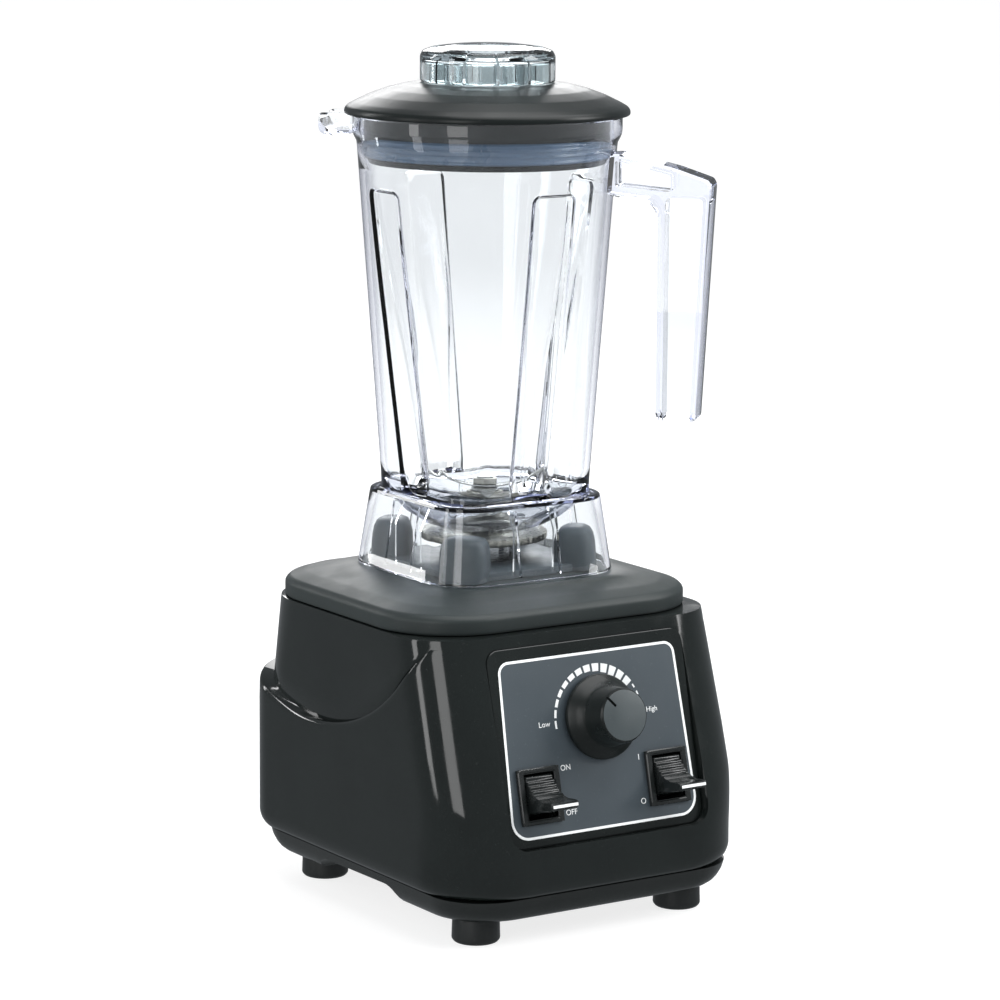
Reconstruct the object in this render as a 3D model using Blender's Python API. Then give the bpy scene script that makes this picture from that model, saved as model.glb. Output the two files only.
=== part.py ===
"""Countertop blender: a motor base with a control panel, a clear square jar, its lid and its filler cap.

Metres, +Z up, +X to the machine's right seen from the front, the controls facing -Y.
The origin is on the floor, under the middle of the whole machine.
"""

import math

import bmesh
import bpy

GAP = 0.0003
SMOOTH_ANGLE = math.radians(35)

# The drive axis is vertical and carries the motor, the blades, the jar, the lid and the filler cap.
AXIS_Y = 0.0205

# Motor housing
HOUSING_BOTTOM, HOUSING_EDGE, CHIN_Z, HOUSING_TOP = 0.0300, 0.0410, 0.0600, 0.1775
HOUSING_HALF_WIDTH, HOUSING_REAR = 0.1060, 0.1295
FRONT_Y, FRONT_TOP_Y = -0.1195, -0.0830
STEP_LOWEST_Z, STEP_LOWEST_Y, STEP_BOW, STEP_START_Y = 0.1100, 0.0500, 3.17, -0.0960
CORNER_STEPS, SIDE_STEPS = 5, 7
INNER_HALF_WIDTH, INNER_REAR, FLANGE_BOTTOM = 0.0975, 0.1140, 0.1725
INLET_X, INLET_Z = 0.0550, 0.0560

# Top cover
COVER_HALF_WIDTH, COVER_FRONT, COVER_REAR, COVER_RADIUS = 0.1035, -0.0748, 0.1170, 0.0500
COVER_BOTTOM, PLATFORM_Z, COVER_WALL, COVER_HOLE = 0.1780, 0.1972, 0.0032, 0.0245

# Base pan and feet
PAN_TOP, PAN_BOTTOM, PAN_INSET, CHANNEL_ROOF = 0.0297, 0.0155, 0.0055, 0.0248
CHANNEL_FRONT, CHANNEL_REAR = -0.0320, 0.0450
FOOT_X, FOOT_FRONT_Y, FOOT_REAR_Y, FOOT_RADIUS, FOOT_HEIGHT = 0.07165, -0.0828, 0.0869, 0.0142, 0.0152

# Control panel: its own frame has x to the right, y up the slope and z out of the panel
PANEL_TILT = math.radians(13.38)
PANEL_Y, PANEL_Z = -0.1119, 0.0636
PANEL_HALF, PANEL_LOW, PANEL_HIGH, PANEL_THICK = 0.0686, -0.0046, 0.1104, 0.0020
KNOB_U, KNOB_V, KNOB_HEIGHT, KNOB_FACE, KNOB_SKIRT = 0.0038, 0.0645, 0.0265, 0.0152, 0.0250
SWITCH_LEFT_U, SWITCH_RIGHT_U, SWITCH_V = -0.0442, 0.0460, 0.0245
BEZEL_WIDTH, BEZEL_HEIGHT, WINDOW_WIDTH, WINDOW_HEIGHT = 0.0284, 0.0323, 0.0206, 0.0268
LEVER_WIDTH, LEVER_PIVOT_N = 0.0186, -0.0020

# Jar
SKIRT_BOTTOM, LEDGE_Z, JAR_TOP, JAR_WALL = 0.1978, 0.2440, 0.4685, 0.0034
BODY_LOW_HALF, BODY_TOP_HALF, BODY_LOW_RADIUS = 0.0500, 0.0770, 0.0180
BODY_LOW_Z, BODY_ROUND_Z = 0.2500, 0.4500
FLUTE_TOP, FLUTE_DEPTH, FLUTE_HALF = 0.4200, 0.0070, 0.0150
JAR_STATIONS = 44
FLOOR_TOP, FLOOR_UNDER, FLOOR_HOLE = 0.2260, 0.2215, 0.0125
HANDLE_ANGLE, SPOUT_ANGLE = math.radians(-45), math.radians(135)

# Lid and filler cap
LID_RADIUS, LID_HOLE, CAP_NECK, CAP_RADIUS, TOTAL_HEIGHT = 0.0845, 0.0270, 0.0262, 0.0400, 0.5100

# Drive train
SHAFT_RADIUS, BORE_RADIUS = 0.0040, 0.0043
STATOR_LOW, STATOR_HIGH, STATOR_HALF = 0.1000, 0.1450, 0.0480
ARMATURE_RADIUS, POLE_BORE = 0.0250, 0.0262
BLADE_TURN = math.radians(-33)


def clear_scene():
    for obj in list(bpy.data.objects):
        bpy.data.objects.remove(obj, do_unlink=True)


def finish(name, color, roughness, metallic=0.0, alpha=1.0):
    """A plain material for one sub-part."""
    made = bpy.data.materials.new(name)
    made.use_nodes = True
    shader = made.node_tree.nodes["Principled BSDF"]
    shader.inputs["Base Color"].default_value = (*color, 1.0)
    shader.inputs["Roughness"].default_value = roughness
    shader.inputs["Metallic"].default_value = metallic
    shader.inputs["Alpha"].default_value = alpha
    return made


def body(name, points, faces, look, parent=None, location=(0, 0, 0)):
    """One named object, its faces turned outwards and its round stretches smooth."""
    mesh = bpy.data.meshes.new(name)
    mesh.from_pydata([tuple(p) for p in points], [], faces)
    work = bmesh.new()
    work.from_mesh(mesh)
    bmesh.ops.recalc_face_normals(work, faces=work.faces)
    work.to_mesh(mesh)
    work.free()
    mesh.shade_smooth()
    mesh.set_sharp_from_angle(angle=SMOOTH_ANGLE)
    mesh.materials.append(look)
    obj = bpy.data.objects.new(name, mesh)
    obj.location = location
    obj.parent = parent
    bpy.context.collection.objects.link(obj)
    return obj


def loft(name, loops, look, ring=False, **place):
    """Skin loops of equal length; a ring joins the last loop to the first, any other body is capped."""
    count = len(loops[0])
    points = [p for loop in loops for p in loop]
    pairs = len(loops) if ring else len(loops) - 1
    faces = []
    for level in range(pairs):
        low, high = level * count, (level + 1) % len(loops) * count
        for i in range(count):
            j = (i + 1) % count
            faces.append((low + i, low + j, high + j, high + i))
    if not ring:
        faces.append(tuple(range(count))[::-1])
        faces.append(tuple(range(len(points) - count, len(points))))
    return body(name, points, faces, look, **place)


def circle(radius, z, segments, center=(0.0, 0.0)):
    turns = [2 * math.pi * i / segments for i in range(segments)]
    return [(center[0] + radius * math.cos(a), center[1] + radius * math.sin(a), z) for a in turns]


def turned(name, profile, look, segments=24, ring=False, center=(0.0, AXIS_Y), **place):
    """Turn (radius, height) points about a vertical line."""
    return loft(name, [circle(r, z, segments, center) for r, z in profile], look, ring, **place)


def tube(name, inner, outer, low, high, look, segments=24, **place):
    profile = [(inner, low), (outer, low), (outer, high), (inner, high)]
    return turned(name, profile, look, segments, ring=True, **place)


def block(name, low, high, look, **place):
    """A box between two corners."""
    corners = [(low[0], low[1]), (high[0], low[1]), (high[0], high[1]), (low[0], high[1])]
    return loft(name, [[(x, y, z) for x, y in corners] for z in (low[2], high[2])], look, **place)


def along_x(name, outline, half_length, look, **place):
    """Extrude an outline of (y, z) points to both sides along x."""
    loops = [[(x, y, z) for y, z in outline] for x in (-half_length, half_length)]
    return loft(name, loops, look, **place)


def combine(target, tool, operation="DIFFERENCE"):
    """Cut a hidden tool from the target, or join it on."""
    tool.hide_render = True
    tool.display_type = "WIRE"
    step = target.modifiers.new(tool.name, "BOOLEAN")
    step.operation = operation
    step.object = tool
    step.solver = "EXACT"


def mix(a, b, share):
    return a + (b - a) * share


def ease(share):
    """A smooth step from 0 to 1."""
    share = min(max(share, 0.0), 1.0)
    return share * share * (3 - 2 * share)


def outline(half_width, front, rear, front_radius, rear_radius):
    """A closed plan outline with round corners, mirrored about x = 0, from the front's middle."""
    half = [(0.0, front), ((half_width - front_radius) * 0.55, front)]
    x, y = half_width - front_radius, front + front_radius
    for i in range(CORNER_STEPS + 1):
        a = math.pi / 2 * (i / CORNER_STEPS - 1)
        half.append((x + front_radius * math.cos(a), y + front_radius * math.sin(a)))
    for i in range(1, SIDE_STEPS):
        half.append((half_width, mix(front + front_radius, rear - rear_radius, i / SIDE_STEPS)))
    x, y = half_width - rear_radius, rear - rear_radius
    for i in range(CORNER_STEPS + 1):
        a = math.pi / 2 * i / CORNER_STEPS
        half.append((x + rear_radius * math.cos(a), y + rear_radius * math.sin(a)))
    half += [((half_width - rear_radius) * 0.5, rear), (0.0, rear)]
    return half + [(-x, y) for x, y in reversed(half[1:-1])]


def cover_outline(inset):
    radius = max(COVER_RADIUS - inset, 0.02)
    return outline(COVER_HALF_WIDTH - inset, COVER_FRONT + inset, COVER_REAR - inset, radius, radius)


def at(z, flat):
    return [(x, y, z) for x, y in flat]


def square_radius(angle, half, corner):
    """Distance from the centre to a rounded square, at an angle."""
    fold = abs((angle + math.pi / 4) % (math.pi / 2) - math.pi / 4)
    if math.tan(fold) * half <= half - corner:
        return half / math.cos(fold)
    offset = half - corner
    along = offset * (math.cos(fold) + math.sin(fold))
    return along + math.sqrt(max(along * along - 2 * offset * offset + corner * corner, 0.0))


def reshaped(flat, half, corner, z):
    """The stations of an outline moved straight towards the axis onto a rounded square."""
    loop = []
    for x, y in flat:
        a = math.atan2(y - AXIS_Y, x)
        r = square_radius(a, half, corner)
        loop.append((r * math.cos(a), AXIS_Y + r * math.sin(a), z))
    return loop


def lower_shell(z):
    """The full outline of the housing at a height: it carries the panel and narrows a little at the top."""
    front = FRONT_Y if z < CHIN_Z else mix(FRONT_Y, FRONT_TOP_Y, (z - CHIN_Z) / (HOUSING_TOP - CHIN_Z))
    half = HOUSING_HALF_WIDTH - max(0.0, z - STEP_LOWEST_Z) * 0.022
    tuck = 0.0045 * (1 - ease((z - HOUSING_BOTTOM) / (HOUSING_EDGE - HOUSING_BOTTOM)))
    front_radius = mix(0.047, 0.037, ease((z - 0.050) / 0.040))
    return outline(half - tuck, front + tuck, HOUSING_REAR - tuck, front_radius, 0.030)


def upper_shell(z):
    """The outline above the swept step, set back at the sides and the rear."""
    rise = min(max((z - STEP_LOWEST_Z) / (HOUSING_TOP - STEP_LOWEST_Z), 0.0), 1.0)
    front = mix(FRONT_Y, FRONT_TOP_Y, (z - CHIN_Z) / (HOUSING_TOP - CHIN_Z))
    rear = AXIS_Y + mix(0.1044, 0.0980, rise)
    return outline(mix(0.1020, 0.1045, rise), front, rear, 0.037, mix(0.035, 0.048, rise))


def step_height(y):
    """The swept step falls from the front corner and runs level round the rear."""
    return min(STEP_LOWEST_Z + STEP_BOW * (y - STEP_LOWEST_Y) ** 2, FLANGE_BOTTOM)


def housing_loops():
    heights = [step_height(y) for x, y in lower_shell(STEP_LOWEST_Z)]
    share = [ease((y - STEP_START_Y) / 0.12) for x, y in lower_shell(STEP_LOWEST_Z)]

    def column_level(height_of, above):
        loop = []
        for i, step in enumerate(heights):
            z = height_of(step)
            low, high = lower_shell(z)[i], upper_shell(z)[i]
            w = share[i] if above else 0.0
            loop.append((mix(low[0], high[0], w), mix(low[1], high[1], w), z))
        return loop

    loops = [at(z, lower_shell(z)) for z in (HOUSING_BOTTOM, 0.0335, HOUSING_EDGE, CHIN_Z)]
    loops.append(column_level(lambda step: mix(CHIN_Z, step, 0.5), False))
    loops.append(column_level(lambda step: step - 0.0012, False))
    loops.append(column_level(lambda step: step + 0.0008, True))
    loops.append(column_level(lambda step: mix(step, HOUSING_TOP, 0.5), True))
    loops.append(column_level(lambda step: HOUSING_TOP, True))
    rim = cover_outline(0.0045)
    loops += [at(HOUSING_TOP, rim), at(FLANGE_BOTTOM, rim)]
    slope = math.tan(PANEL_TILT)
    for z in (FLANGE_BOTTOM, CHIN_Z, HOUSING_BOTTOM):
        front = PANEL_Y + 0.0057 + max(z - PANEL_Z, 0.0) * slope
        loops.append(at(z, outline(INNER_HALF_WIDTH, front, INNER_REAR, 0.034, 0.036)))
    return loops


def make_housing(panel):
    look = finish("gloss_black", (0.012, 0.015, 0.014), 0.12)
    housing = loft("housing", housing_loops(), look, ring=True)
    margin = 0.0004
    recess = panel_plate("recess_cutter", margin, -PANEL_THICK - GAP, 0.030, look, panel)
    combine(housing, recess)
    for name, u in (("switch_cutter_left", SWITCH_LEFT_U), ("switch_cutter_right", SWITCH_RIGHT_U)):
        combine(housing, switch_cutter(name, u, look, panel))
    combine(housing, knob_cutter("knob_cutter_housing", look, panel))
    hole = turned("inlet_cutter", [(0.0083, -0.03), (0.0083, 0.03)], look, center=(0, 0))
    hole.location = (INLET_X, HOUSING_REAR, INLET_Z)
    hole.rotation_euler = (math.pi / 2, 0, 0)
    combine(housing, hole)


def panel_plate(name, grow, low, high, look, panel):
    """The panel's rounded rectangle between two heights of the panel's frame."""
    half, bottom, top, radius, steps = PANEL_HALF + grow, PANEL_LOW - grow, PANEL_HIGH + grow, 0.009, 4
    flat = []
    corners = ((half, bottom, -1), (half, top, 0), (-half, top, 1), (-half, bottom, 2))
    for x, y, quarter in corners:
        cx, cy = x - math.copysign(radius, x), y + (radius if y == bottom else -radius)
        for i in range(steps + 1):
            a = math.pi / 2 * (quarter + i / steps)
            flat.append((cx + radius * math.cos(a), cy + radius * math.sin(a)))
    return loft(name, [at(low, flat), at(high, flat)], look, parent=panel)


def switch_cutter(name, u, look, panel):
    half_w, half_h = BEZEL_WIDTH / 2 - 0.0018, BEZEL_HEIGHT / 2 - 0.0018
    return block(name, (u - half_w, SWITCH_V - half_h, -0.030), (u + half_w, SWITCH_V + half_h, 0.010),
                 look, parent=panel)


def knob_cutter(name, look, panel):
    return turned(name, [(0.0048, -0.02), (0.0048, 0.01)], look, 16, center=(KNOB_U, KNOB_V),
                  parent=panel)


def make_panel(panel):
    look = finish("panel_slate", (0.085, 0.110, 0.125), 0.35)
    plate = panel_plate("control_panel", 0.0, -PANEL_THICK, 0.0, look, panel)
    for name, u in (("panel_cutter_left", SWITCH_LEFT_U), ("panel_cutter_right", SWITCH_RIGHT_U)):
        combine(plate, switch_cutter(name, u, look, panel))
    combine(plate, knob_cutter("knob_cutter_panel", look, panel))


def make_switch(side, u, panel):
    """A snap-in switch body, and the wide paddle lever that rocks in it."""
    look = finish(f"switch_black_{side}", (0.010, 0.012, 0.012), 0.30)
    flange = (BEZEL_WIDTH / 2, BEZEL_HEIGHT / 2)
    neck = (flange[0] - 0.0022, flange[1] - 0.0022)
    bezel = block(f"switch_body_{side}", (u - flange[0], SWITCH_V - flange[1], GAP),
                  (u + flange[0], SWITCH_V + flange[1], 0.0024), look, parent=panel)
    shell = block(f"switch_shell_{side}", (u - neck[0], SWITCH_V - neck[1], -0.0220),
                  (u + neck[0], SWITCH_V + neck[1], 0.0015), look, parent=panel)
    pocket = block(f"switch_pocket_{side}", (u - WINDOW_WIDTH / 2, SWITCH_V - WINDOW_HEIGHT / 2, -0.0160),
                   (u + WINDOW_WIDTH / 2, SWITCH_V + WINDOW_HEIGHT / 2, 0.0100), look, parent=panel)
    combine(bezel, shell, "UNION")
    combine(bezel, pocket)
    side_view = [(-0.0115, -0.0045), (-0.0120, -0.0017), (-0.0088, 0.0040), (-0.0082, 0.0275),
                 (-0.0060, 0.0290), (-0.0042, 0.0270), (-0.0028, 0.0180), (0.0005, 0.0110),
                 (0.0040, 0.0086), (0.0046, 0.0066), (0.0074, 0.0070), (0.0080, 0.0052),
                 (0.0110, 0.0050), (0.0120, 0.0030), (0.0110, -0.0040), (0.0060, -0.0080),
                 (-0.0060, -0.0080)]
    name = "power_lever" if side == "left" else "pulse_lever"
    along_x(name, side_view, LEVER_WIDTH / 2, look, parent=panel, location=(u, SWITCH_V, LEVER_PIVOT_N))


def make_knob(panel):
    black = finish("knob_black", (0.014, 0.017, 0.017), 0.38)
    brass = finish("potentiometer_metal", (0.42, 0.36, 0.22), 0.35, 1.0)
    steel = finish("potentiometer_steel", (0.55, 0.55, 0.55), 0.30, 1.0)
    profile = [(0.0033, 0.0190), (0.0033, 0.0010), (0.0236, 0.0010), (KNOB_SKIRT, 0.0028),
               (KNOB_SKIRT, 0.0045), (0.0190, 0.0085), (0.0170, 0.0120), (0.0160, 0.0250),
               (KNOB_FACE, KNOB_HEIGHT)]
    spot = dict(center=(0, 0), parent=panel, location=(KNOB_U, KNOB_V, 0))
    knob = turned("speed_knob", profile, black, 32, **spot)
    pointer = block("pointer_groove", (-0.0009, 0.0085, KNOB_HEIGHT - 0.0012),
                    (0.0009, 0.0170, KNOB_HEIGHT + 0.0020), black, parent=knob)
    pointer.rotation_euler = (0, 0, math.radians(45))
    combine(knob, pointer)
    turned("potentiometer_shaft", [(0.0030, -0.0140), (0.0030, 0.0180)], steel, 16, **spot)
    can = [(0.0110, -0.0170), (0.0110, -0.0068), (0.0045, -0.0068), (0.0045, -0.0004),
           (0.0033, -0.0004), (0.0033, -0.0144)]
    turned("potentiometer", can, brass, 20, **spot)


def make_cover():
    look = finish("matte_cover", (0.055, 0.070, 0.075), 0.55)
    top = [(0.0, COVER_BOTTOM), (-0.0006, 0.1800), (0.0, 0.1860), (0.0022, 0.1893), (0.0130, 0.1926),
           (0.0260, 0.1955)]
    loops = [at(z, cover_outline(inset)) for inset, z in top]
    loops.append(reshaped(cover_outline(0.0300), 0.0660, 0.0330, PLATFORM_Z))
    loops.append(reshaped(cover_outline(0.0300), COVER_HOLE, COVER_HOLE, PLATFORM_Z))
    loops.append(reshaped(cover_outline(0.0300), COVER_HOLE, COVER_HOLE, PLATFORM_Z - COVER_WALL))
    loops.append(reshaped(cover_outline(0.0300), 0.0640, 0.0330, PLATFORM_Z - COVER_WALL))
    loops += [at(z - COVER_WALL, cover_outline(inset)) for inset, z in ((0.0270, 0.1955), (0.0140, 0.1926))]
    loops += [at(0.1850, cover_outline(0.0042)), at(COVER_BOTTOM, cover_outline(0.0036))]
    loft("top_cover", loops, look, ring=True)


def make_centering_pad():
    """The rubber pad that the jar drops over, with a post in each corner of the jar's skirt."""
    look = finish("pad_rubber", (0.050, 0.060, 0.066), 0.60)
    stations = [(math.cos(a), AXIS_Y + math.sin(a)) for a in (2 * math.pi * i / 40 for i in range(40))]
    low, high = PLATFORM_Z + GAP, 0.2030
    loops = [reshaped(stations, 0.0190, 0.0190, low), reshaped(stations, 0.0505, 0.0240, low),
             reshaped(stations, 0.0500, 0.0240, high), reshaped(stations, 0.0190, 0.0190, high)]
    pad = loft("centering_pad", loops, look, ring=True)
    for i, (sx, sy) in enumerate(((1, 1), (-1, 1), (-1, -1), (1, -1))):
        center = (sx * 0.0390, AXIS_Y + sy * 0.0390)
        post = [(0.0122, low + 0.0005), (0.0115, 0.2200), (0.0100, 0.2235), (0.0070, 0.2245)]
        combine(pad, turned(f"pad_post_{i}", post, look, 16, center=center), "UNION")


def pan_outline(inset):
    radius = 0.034
    edge = PAN_INSET + inset
    return outline(HOUSING_HALF_WIDTH - edge, FRONT_Y + edge, HOUSING_REAR - edge, radius, 0.028)


def foot_places():
    for row, y in (("front", FOOT_FRONT_Y), ("rear", FOOT_REAR_Y)):
        for side, x in (("left", -FOOT_X), ("right", FOOT_X)):
            yield f"{row}_{side}", x, y


def make_pan():
    look = finish("pan_black", (0.016, 0.018, 0.018), 0.45)
    levels = ((0.0115, PAN_BOTTOM), (0.0070, 0.0165), (0.0030, 0.0205), (0.0, PAN_TOP))
    pan = loft("base_pan", [at(z, pan_outline(inset)) for inset, z in levels], look)
    arch = [(CHANNEL_FRONT - 0.0110, 0.0), (CHANNEL_FRONT - 0.0090, 0.0160), (CHANNEL_FRONT, CHANNEL_ROOF),
            (CHANNEL_REAR, CHANNEL_ROOF - 0.0010), (CHANNEL_REAR + 0.0090, 0.0160),
            (CHANNEL_REAR + 0.0110, 0.0)]
    combine(pan, along_x("channel_cutter", arch, 0.15, look))
    for name, front, rear in (("front_pocket", -0.0960, -0.0450), ("rear_pocket", 0.0580, 0.1080)):
        combine(pan, block(name, (-0.0850, front, 0.0190), (0.0850, rear, 0.0400), look))
    for i in range(5):
        y = AXIS_Y + (i - 2) * 0.0090
        combine(pan, block(f"vent_cutter_{i}", (-0.0300, y - 0.0018, 0.0100),
                           (0.0300, y + 0.0018, 0.0400), look))
    for place, x, y in foot_places():
        combine(pan, turned(f"screw_cutter_{place}", [(0.0023, 0.005), (0.0023, 0.040)], look, 12,
                            center=(x, y)))


def make_feet():
    rubber = finish("foot_rubber", (0.014, 0.015, 0.015), 0.60)
    steel = finish("screw_steel", (0.50, 0.50, 0.50), 0.30, 1.0)
    foot = [(0.0048, 0.0), (0.0127, 0.0), (FOOT_RADIUS, 0.0016), (FOOT_RADIUS, FOOT_HEIGHT),
            (0.0023, FOOT_HEIGHT), (0.0023, 0.0080), (0.0048, 0.0080)]
    screw = [(0.0034, 0.0044), (0.0040, 0.0052), (0.0040, 0.0077), (0.0020, 0.0077), (0.0020, 0.0240)]
    for place, x, y in foot_places():
        turned(f"foot_{place}", foot, rubber, 20, ring=True, center=(x, y))
        turned(f"foot_screw_{place}", screw, steel, 12, center=(x, y))


def make_inlet():
    """The flanged bushing that the mains lead would pass through."""
    look = finish("inlet_rubber", (0.016, 0.016, 0.016), 0.55)
    profile = [(0.0042, -0.0180), (0.0080, -0.0180), (0.0080, GAP), (0.0112, GAP),
               (0.0105, 0.0024), (0.0042, 0.0024)]
    bushing = turned("cord_inlet", profile, look, 20, ring=True, center=(0, 0))
    bushing.location = (INLET_X, HOUSING_REAR, INLET_Z)
    bushing.rotation_euler = (-math.pi / 2, 0, 0)


def body_half(z):
    share = min(max((z - BODY_LOW_Z) / (BODY_ROUND_Z - BODY_LOW_Z), 0.0), 1.0)
    half = mix(BODY_LOW_HALF, BODY_TOP_HALF, share)
    return half, min(mix(BODY_LOW_RADIUS, BODY_TOP_HALF, share), half)


def jar_body_loop(z, inset):
    """One level of the jar's tapering wall, square low down and round at the top, pressed in at its flutes."""
    half, corner = body_half(z)
    depth = FLUTE_DEPTH * ease((FLUTE_TOP - z) / 0.060)
    loop = []
    for i in range(JAR_STATIONS):
        a = 2 * math.pi * i / JAR_STATIONS
        r = square_radius(a, half - inset, max(corner - inset, 0.002))
        fold = abs((a + math.pi / 4) % (math.pi / 2) - math.pi / 4)
        across = r * math.sin(fold) / (FLUTE_HALF + inset)
        r -= depth * ease((1.25 - across) / 0.5)
        loop.append((r * math.cos(a), AXIS_Y + r * math.sin(a), z))
    return loop


def jar_loop(half, corner, z):
    turns = [2 * math.pi * i / JAR_STATIONS for i in range(JAR_STATIONS)]
    flat = [(math.cos(a), AXIS_Y + math.sin(a)) for a in turns]
    return reshaped(flat, half, corner, z)


def jar_loops():
    outer = [jar_loop(0.06355, 0.0306, SKIRT_BOTTOM), jar_loop(0.0564, 0.0234, LEDGE_Z - 0.0015),
             jar_loop(0.0554, 0.0224, LEDGE_Z)]
    outer += [jar_body_loop(z, 0.0) for z in (LEDGE_Z + 0.0015, 0.2800, 0.3250, 0.3700, 0.3950, FLUTE_TOP,
                                              0.4500)]
    outer += [jar_loop(0.0798, 0.0798, 0.4580), jar_loop(0.0800, 0.0800, JAR_TOP)]
    inner = [jar_loop(0.0758, 0.0758, JAR_TOP), jar_loop(0.0748, 0.0748, 0.4550)]
    inner += [jar_body_loop(z, JAR_WALL) for z in (0.4380, FLUTE_TOP, 0.3950, 0.3700, 0.3250, 0.2800,
                                                   0.2500)]
    inner += [jar_loop(0.0385, 0.0150, 0.2400), jar_loop(0.0280, 0.0280, FLOOR_TOP),
              jar_loop(FLOOR_HOLE, FLOOR_HOLE, FLOOR_TOP)]
    under = [jar_loop(FLOOR_HOLE, FLOOR_HOLE, FLOOR_UNDER), jar_loop(0.0300, 0.0300, FLOOR_UNDER),
             jar_loop(0.0430, 0.0160, 0.2360), jar_loop(0.0527, 0.0200, 0.2405),
             jar_loop(0.0605, 0.0276, SKIRT_BOTTOM)]
    return outer + inner + under


def handle_outline():
    """Side view of the handle in (distance from the axis, height)."""
    return [(0.0740, 0.4470), (0.0800, 0.4480), (0.1150, 0.4400), (0.1350, 0.4330), (0.1362, 0.4310),
            (0.1290, 0.2920), (0.1270, 0.2910), (0.1060, 0.2910), (0.1048, 0.4180), (0.1020, 0.4210),
            (0.0730, 0.4250)]


def make_jar():
    look = finish("clear_copolyester", (0.86, 0.90, 0.89), 0.06, 0.0, 0.30)
    jar = loft("jar", jar_loops(), look, ring=True)
    origin = (0, AXIS_Y, 0)
    handle = along_x("handle_body", handle_outline(), 0.0120, look, location=origin)
    handle.rotation_euler = (0, 0, HANDLE_ANGLE - math.pi / 2)
    bevel = handle.modifiers.new("edges", "BEVEL")
    bevel.width = 0.0020
    bevel.segments = 1
    bevel.limit_method = "ANGLE"
    channel = [(0.1095, 0.2800), (0.1095, 0.4210), (0.1310, 0.4210), (0.1245, 0.2800)]
    hollow = along_x("handle_hollow", channel, 0.0088, look, location=origin)
    hollow.rotation_euler = handle.rotation_euler
    combine(jar, handle, "UNION")
    combine(jar, hollow)
    spout = [(0.0785, 0.4560), (0.0960, 0.4540), (0.0995, 0.4570), (0.0995, 0.4680), (0.0785, 0.4680)]
    trough = [(0.0700, 0.4585), (0.0945, 0.4580), (0.0970, 0.4600), (0.1100, 0.4760), (0.0700, 0.4760)]
    lip = along_x("spout_body", spout, 0.0150, look, location=origin)
    cut = along_x("spout_trough", trough, 0.0118, look, location=origin)
    for piece, operation in ((lip, "UNION"), (cut, "DIFFERENCE")):
        piece.rotation_euler = (0, 0, SPOUT_ANGLE - math.pi / 2)
        combine(jar, piece, operation)
    rib_view = [(0.0525, 0.2005), (0.0615, 0.2005), (0.0545, 0.2390), (0.0460, 0.2390), (0.0525, 0.2260)]
    for i in range(4):
        for j, shift in enumerate((-0.0140, 0.0140)):
            turn = math.pi / 2 * i
            spot = (shift * math.cos(turn), AXIS_Y + shift * math.sin(turn), 0)
            rib = along_x(f"skirt_rib_{i}_{j}", rib_view, 0.0013, look, location=spot)
            rib.rotation_euler = (0, 0, turn)
            combine(jar, rib, "UNION")


def make_blade_assembly():
    """The bearing carrier clamped through the jar's floor, and the blades on their spindle."""
    steel = finish("blade_steel", (0.60, 0.61, 0.61), 0.22, 1.0)
    bearing = finish("bearing_steel", (0.50, 0.50, 0.52), 0.25, 1.0)
    rubber = finish("seal_rubber", (0.020, 0.020, 0.020), 0.60)
    carrier = [(0.0093, 0.2142), (0.0120, 0.2142), (0.0120, FLOOR_TOP + GAP), (0.0180, FLOOR_TOP + GAP),
               (0.0170, 0.2290), (0.0120, 0.2310), (0.0112, 0.2365), (0.0093, 0.2365)]
    turned("bearing_carrier", carrier, steel, 28, ring=True)
    nut = [(0.0124, 0.2142), (0.0340, 0.2142), (0.0370, 0.2165), (0.0370, 0.2190), (0.0290, 0.2211),
           (0.0124, 0.2211)]
    turned("retainer_nut", nut, steel, 32, ring=True)
    tube("jar_bearing_lower", BORE_RADIUS, 0.0090, 0.2150, 0.2210, bearing)
    tube("jar_bearing_upper", BORE_RADIUS, 0.0090, 0.2240, 0.2300, bearing)
    tube("spindle_seal", BORE_RADIUS, 0.0090, 0.2320, 0.2355, rubber)
    spindle = [circle(0.0055, z, 6, (0, AXIS_Y)) for z in (0.2000, 0.2130)]
    drive = loft("blade_spindle", spindle, steel)
    rod = [(SHAFT_RADIUS, 0.2120), (SHAFT_RADIUS, 0.2370), (0.0080, 0.2375), (0.0080, 0.2410),
           (SHAFT_RADIUS, 0.2410), (SHAFT_RADIUS, 0.2515)]
    combine(drive, turned("spindle_rod", rod, steel, 20), "UNION")
    upper = [(-0.0370, 0.0130), (-0.0250, 0.0058), (-0.0130, 0.0012), (-0.0080, 0.0), (0.0080, 0.0),
             (0.0130, 0.0012), (0.0250, 0.0058), (0.0370, 0.0130)]
    lower = [(-0.0290, -0.0060), (-0.0200, -0.0046), (-0.0110, 0.0), (0.0110, 0.0), (0.0200, -0.0046),
             (0.0290, -0.0060)]
    make_blade("blade_upper", upper, 0.2434, BLADE_TURN, steel)
    make_blade("blade_lower", lower, 0.2413, BLADE_TURN + math.pi / 2, steel)
    cap = [circle(0.0075, z, 6, (0, AXIS_Y)) for z in (0.2455, 0.2510)]
    bore = [circle(0.0050, z, 6, (0, AXIS_Y)) for z in (0.2510, 0.2455)]
    loft("blade_nut", cap + bore, steel, ring=True)


def make_blade(name, path, z, turn, look):
    """A double-ended strip that is bent up or down at its tips, with its hole for the spindle."""
    loops = []
    for x, rise in path:
        half = mix(0.0075, 0.0028, abs(x) / 0.0370)
        thick = 0.0018
        loops.append([(x, -half, rise), (x, half, rise), (x, half, rise + thick), (x, -half, rise + thick)])
    blade = loft(name, loops, look, location=(0, AXIS_Y, z))
    blade.rotation_euler = (0, 0, turn)
    hole = turned(f"{name}_hole", [(BORE_RADIUS, z - 0.01), (BORE_RADIUS, z + 0.01)], look, 20)
    combine(blade, hole)


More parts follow.
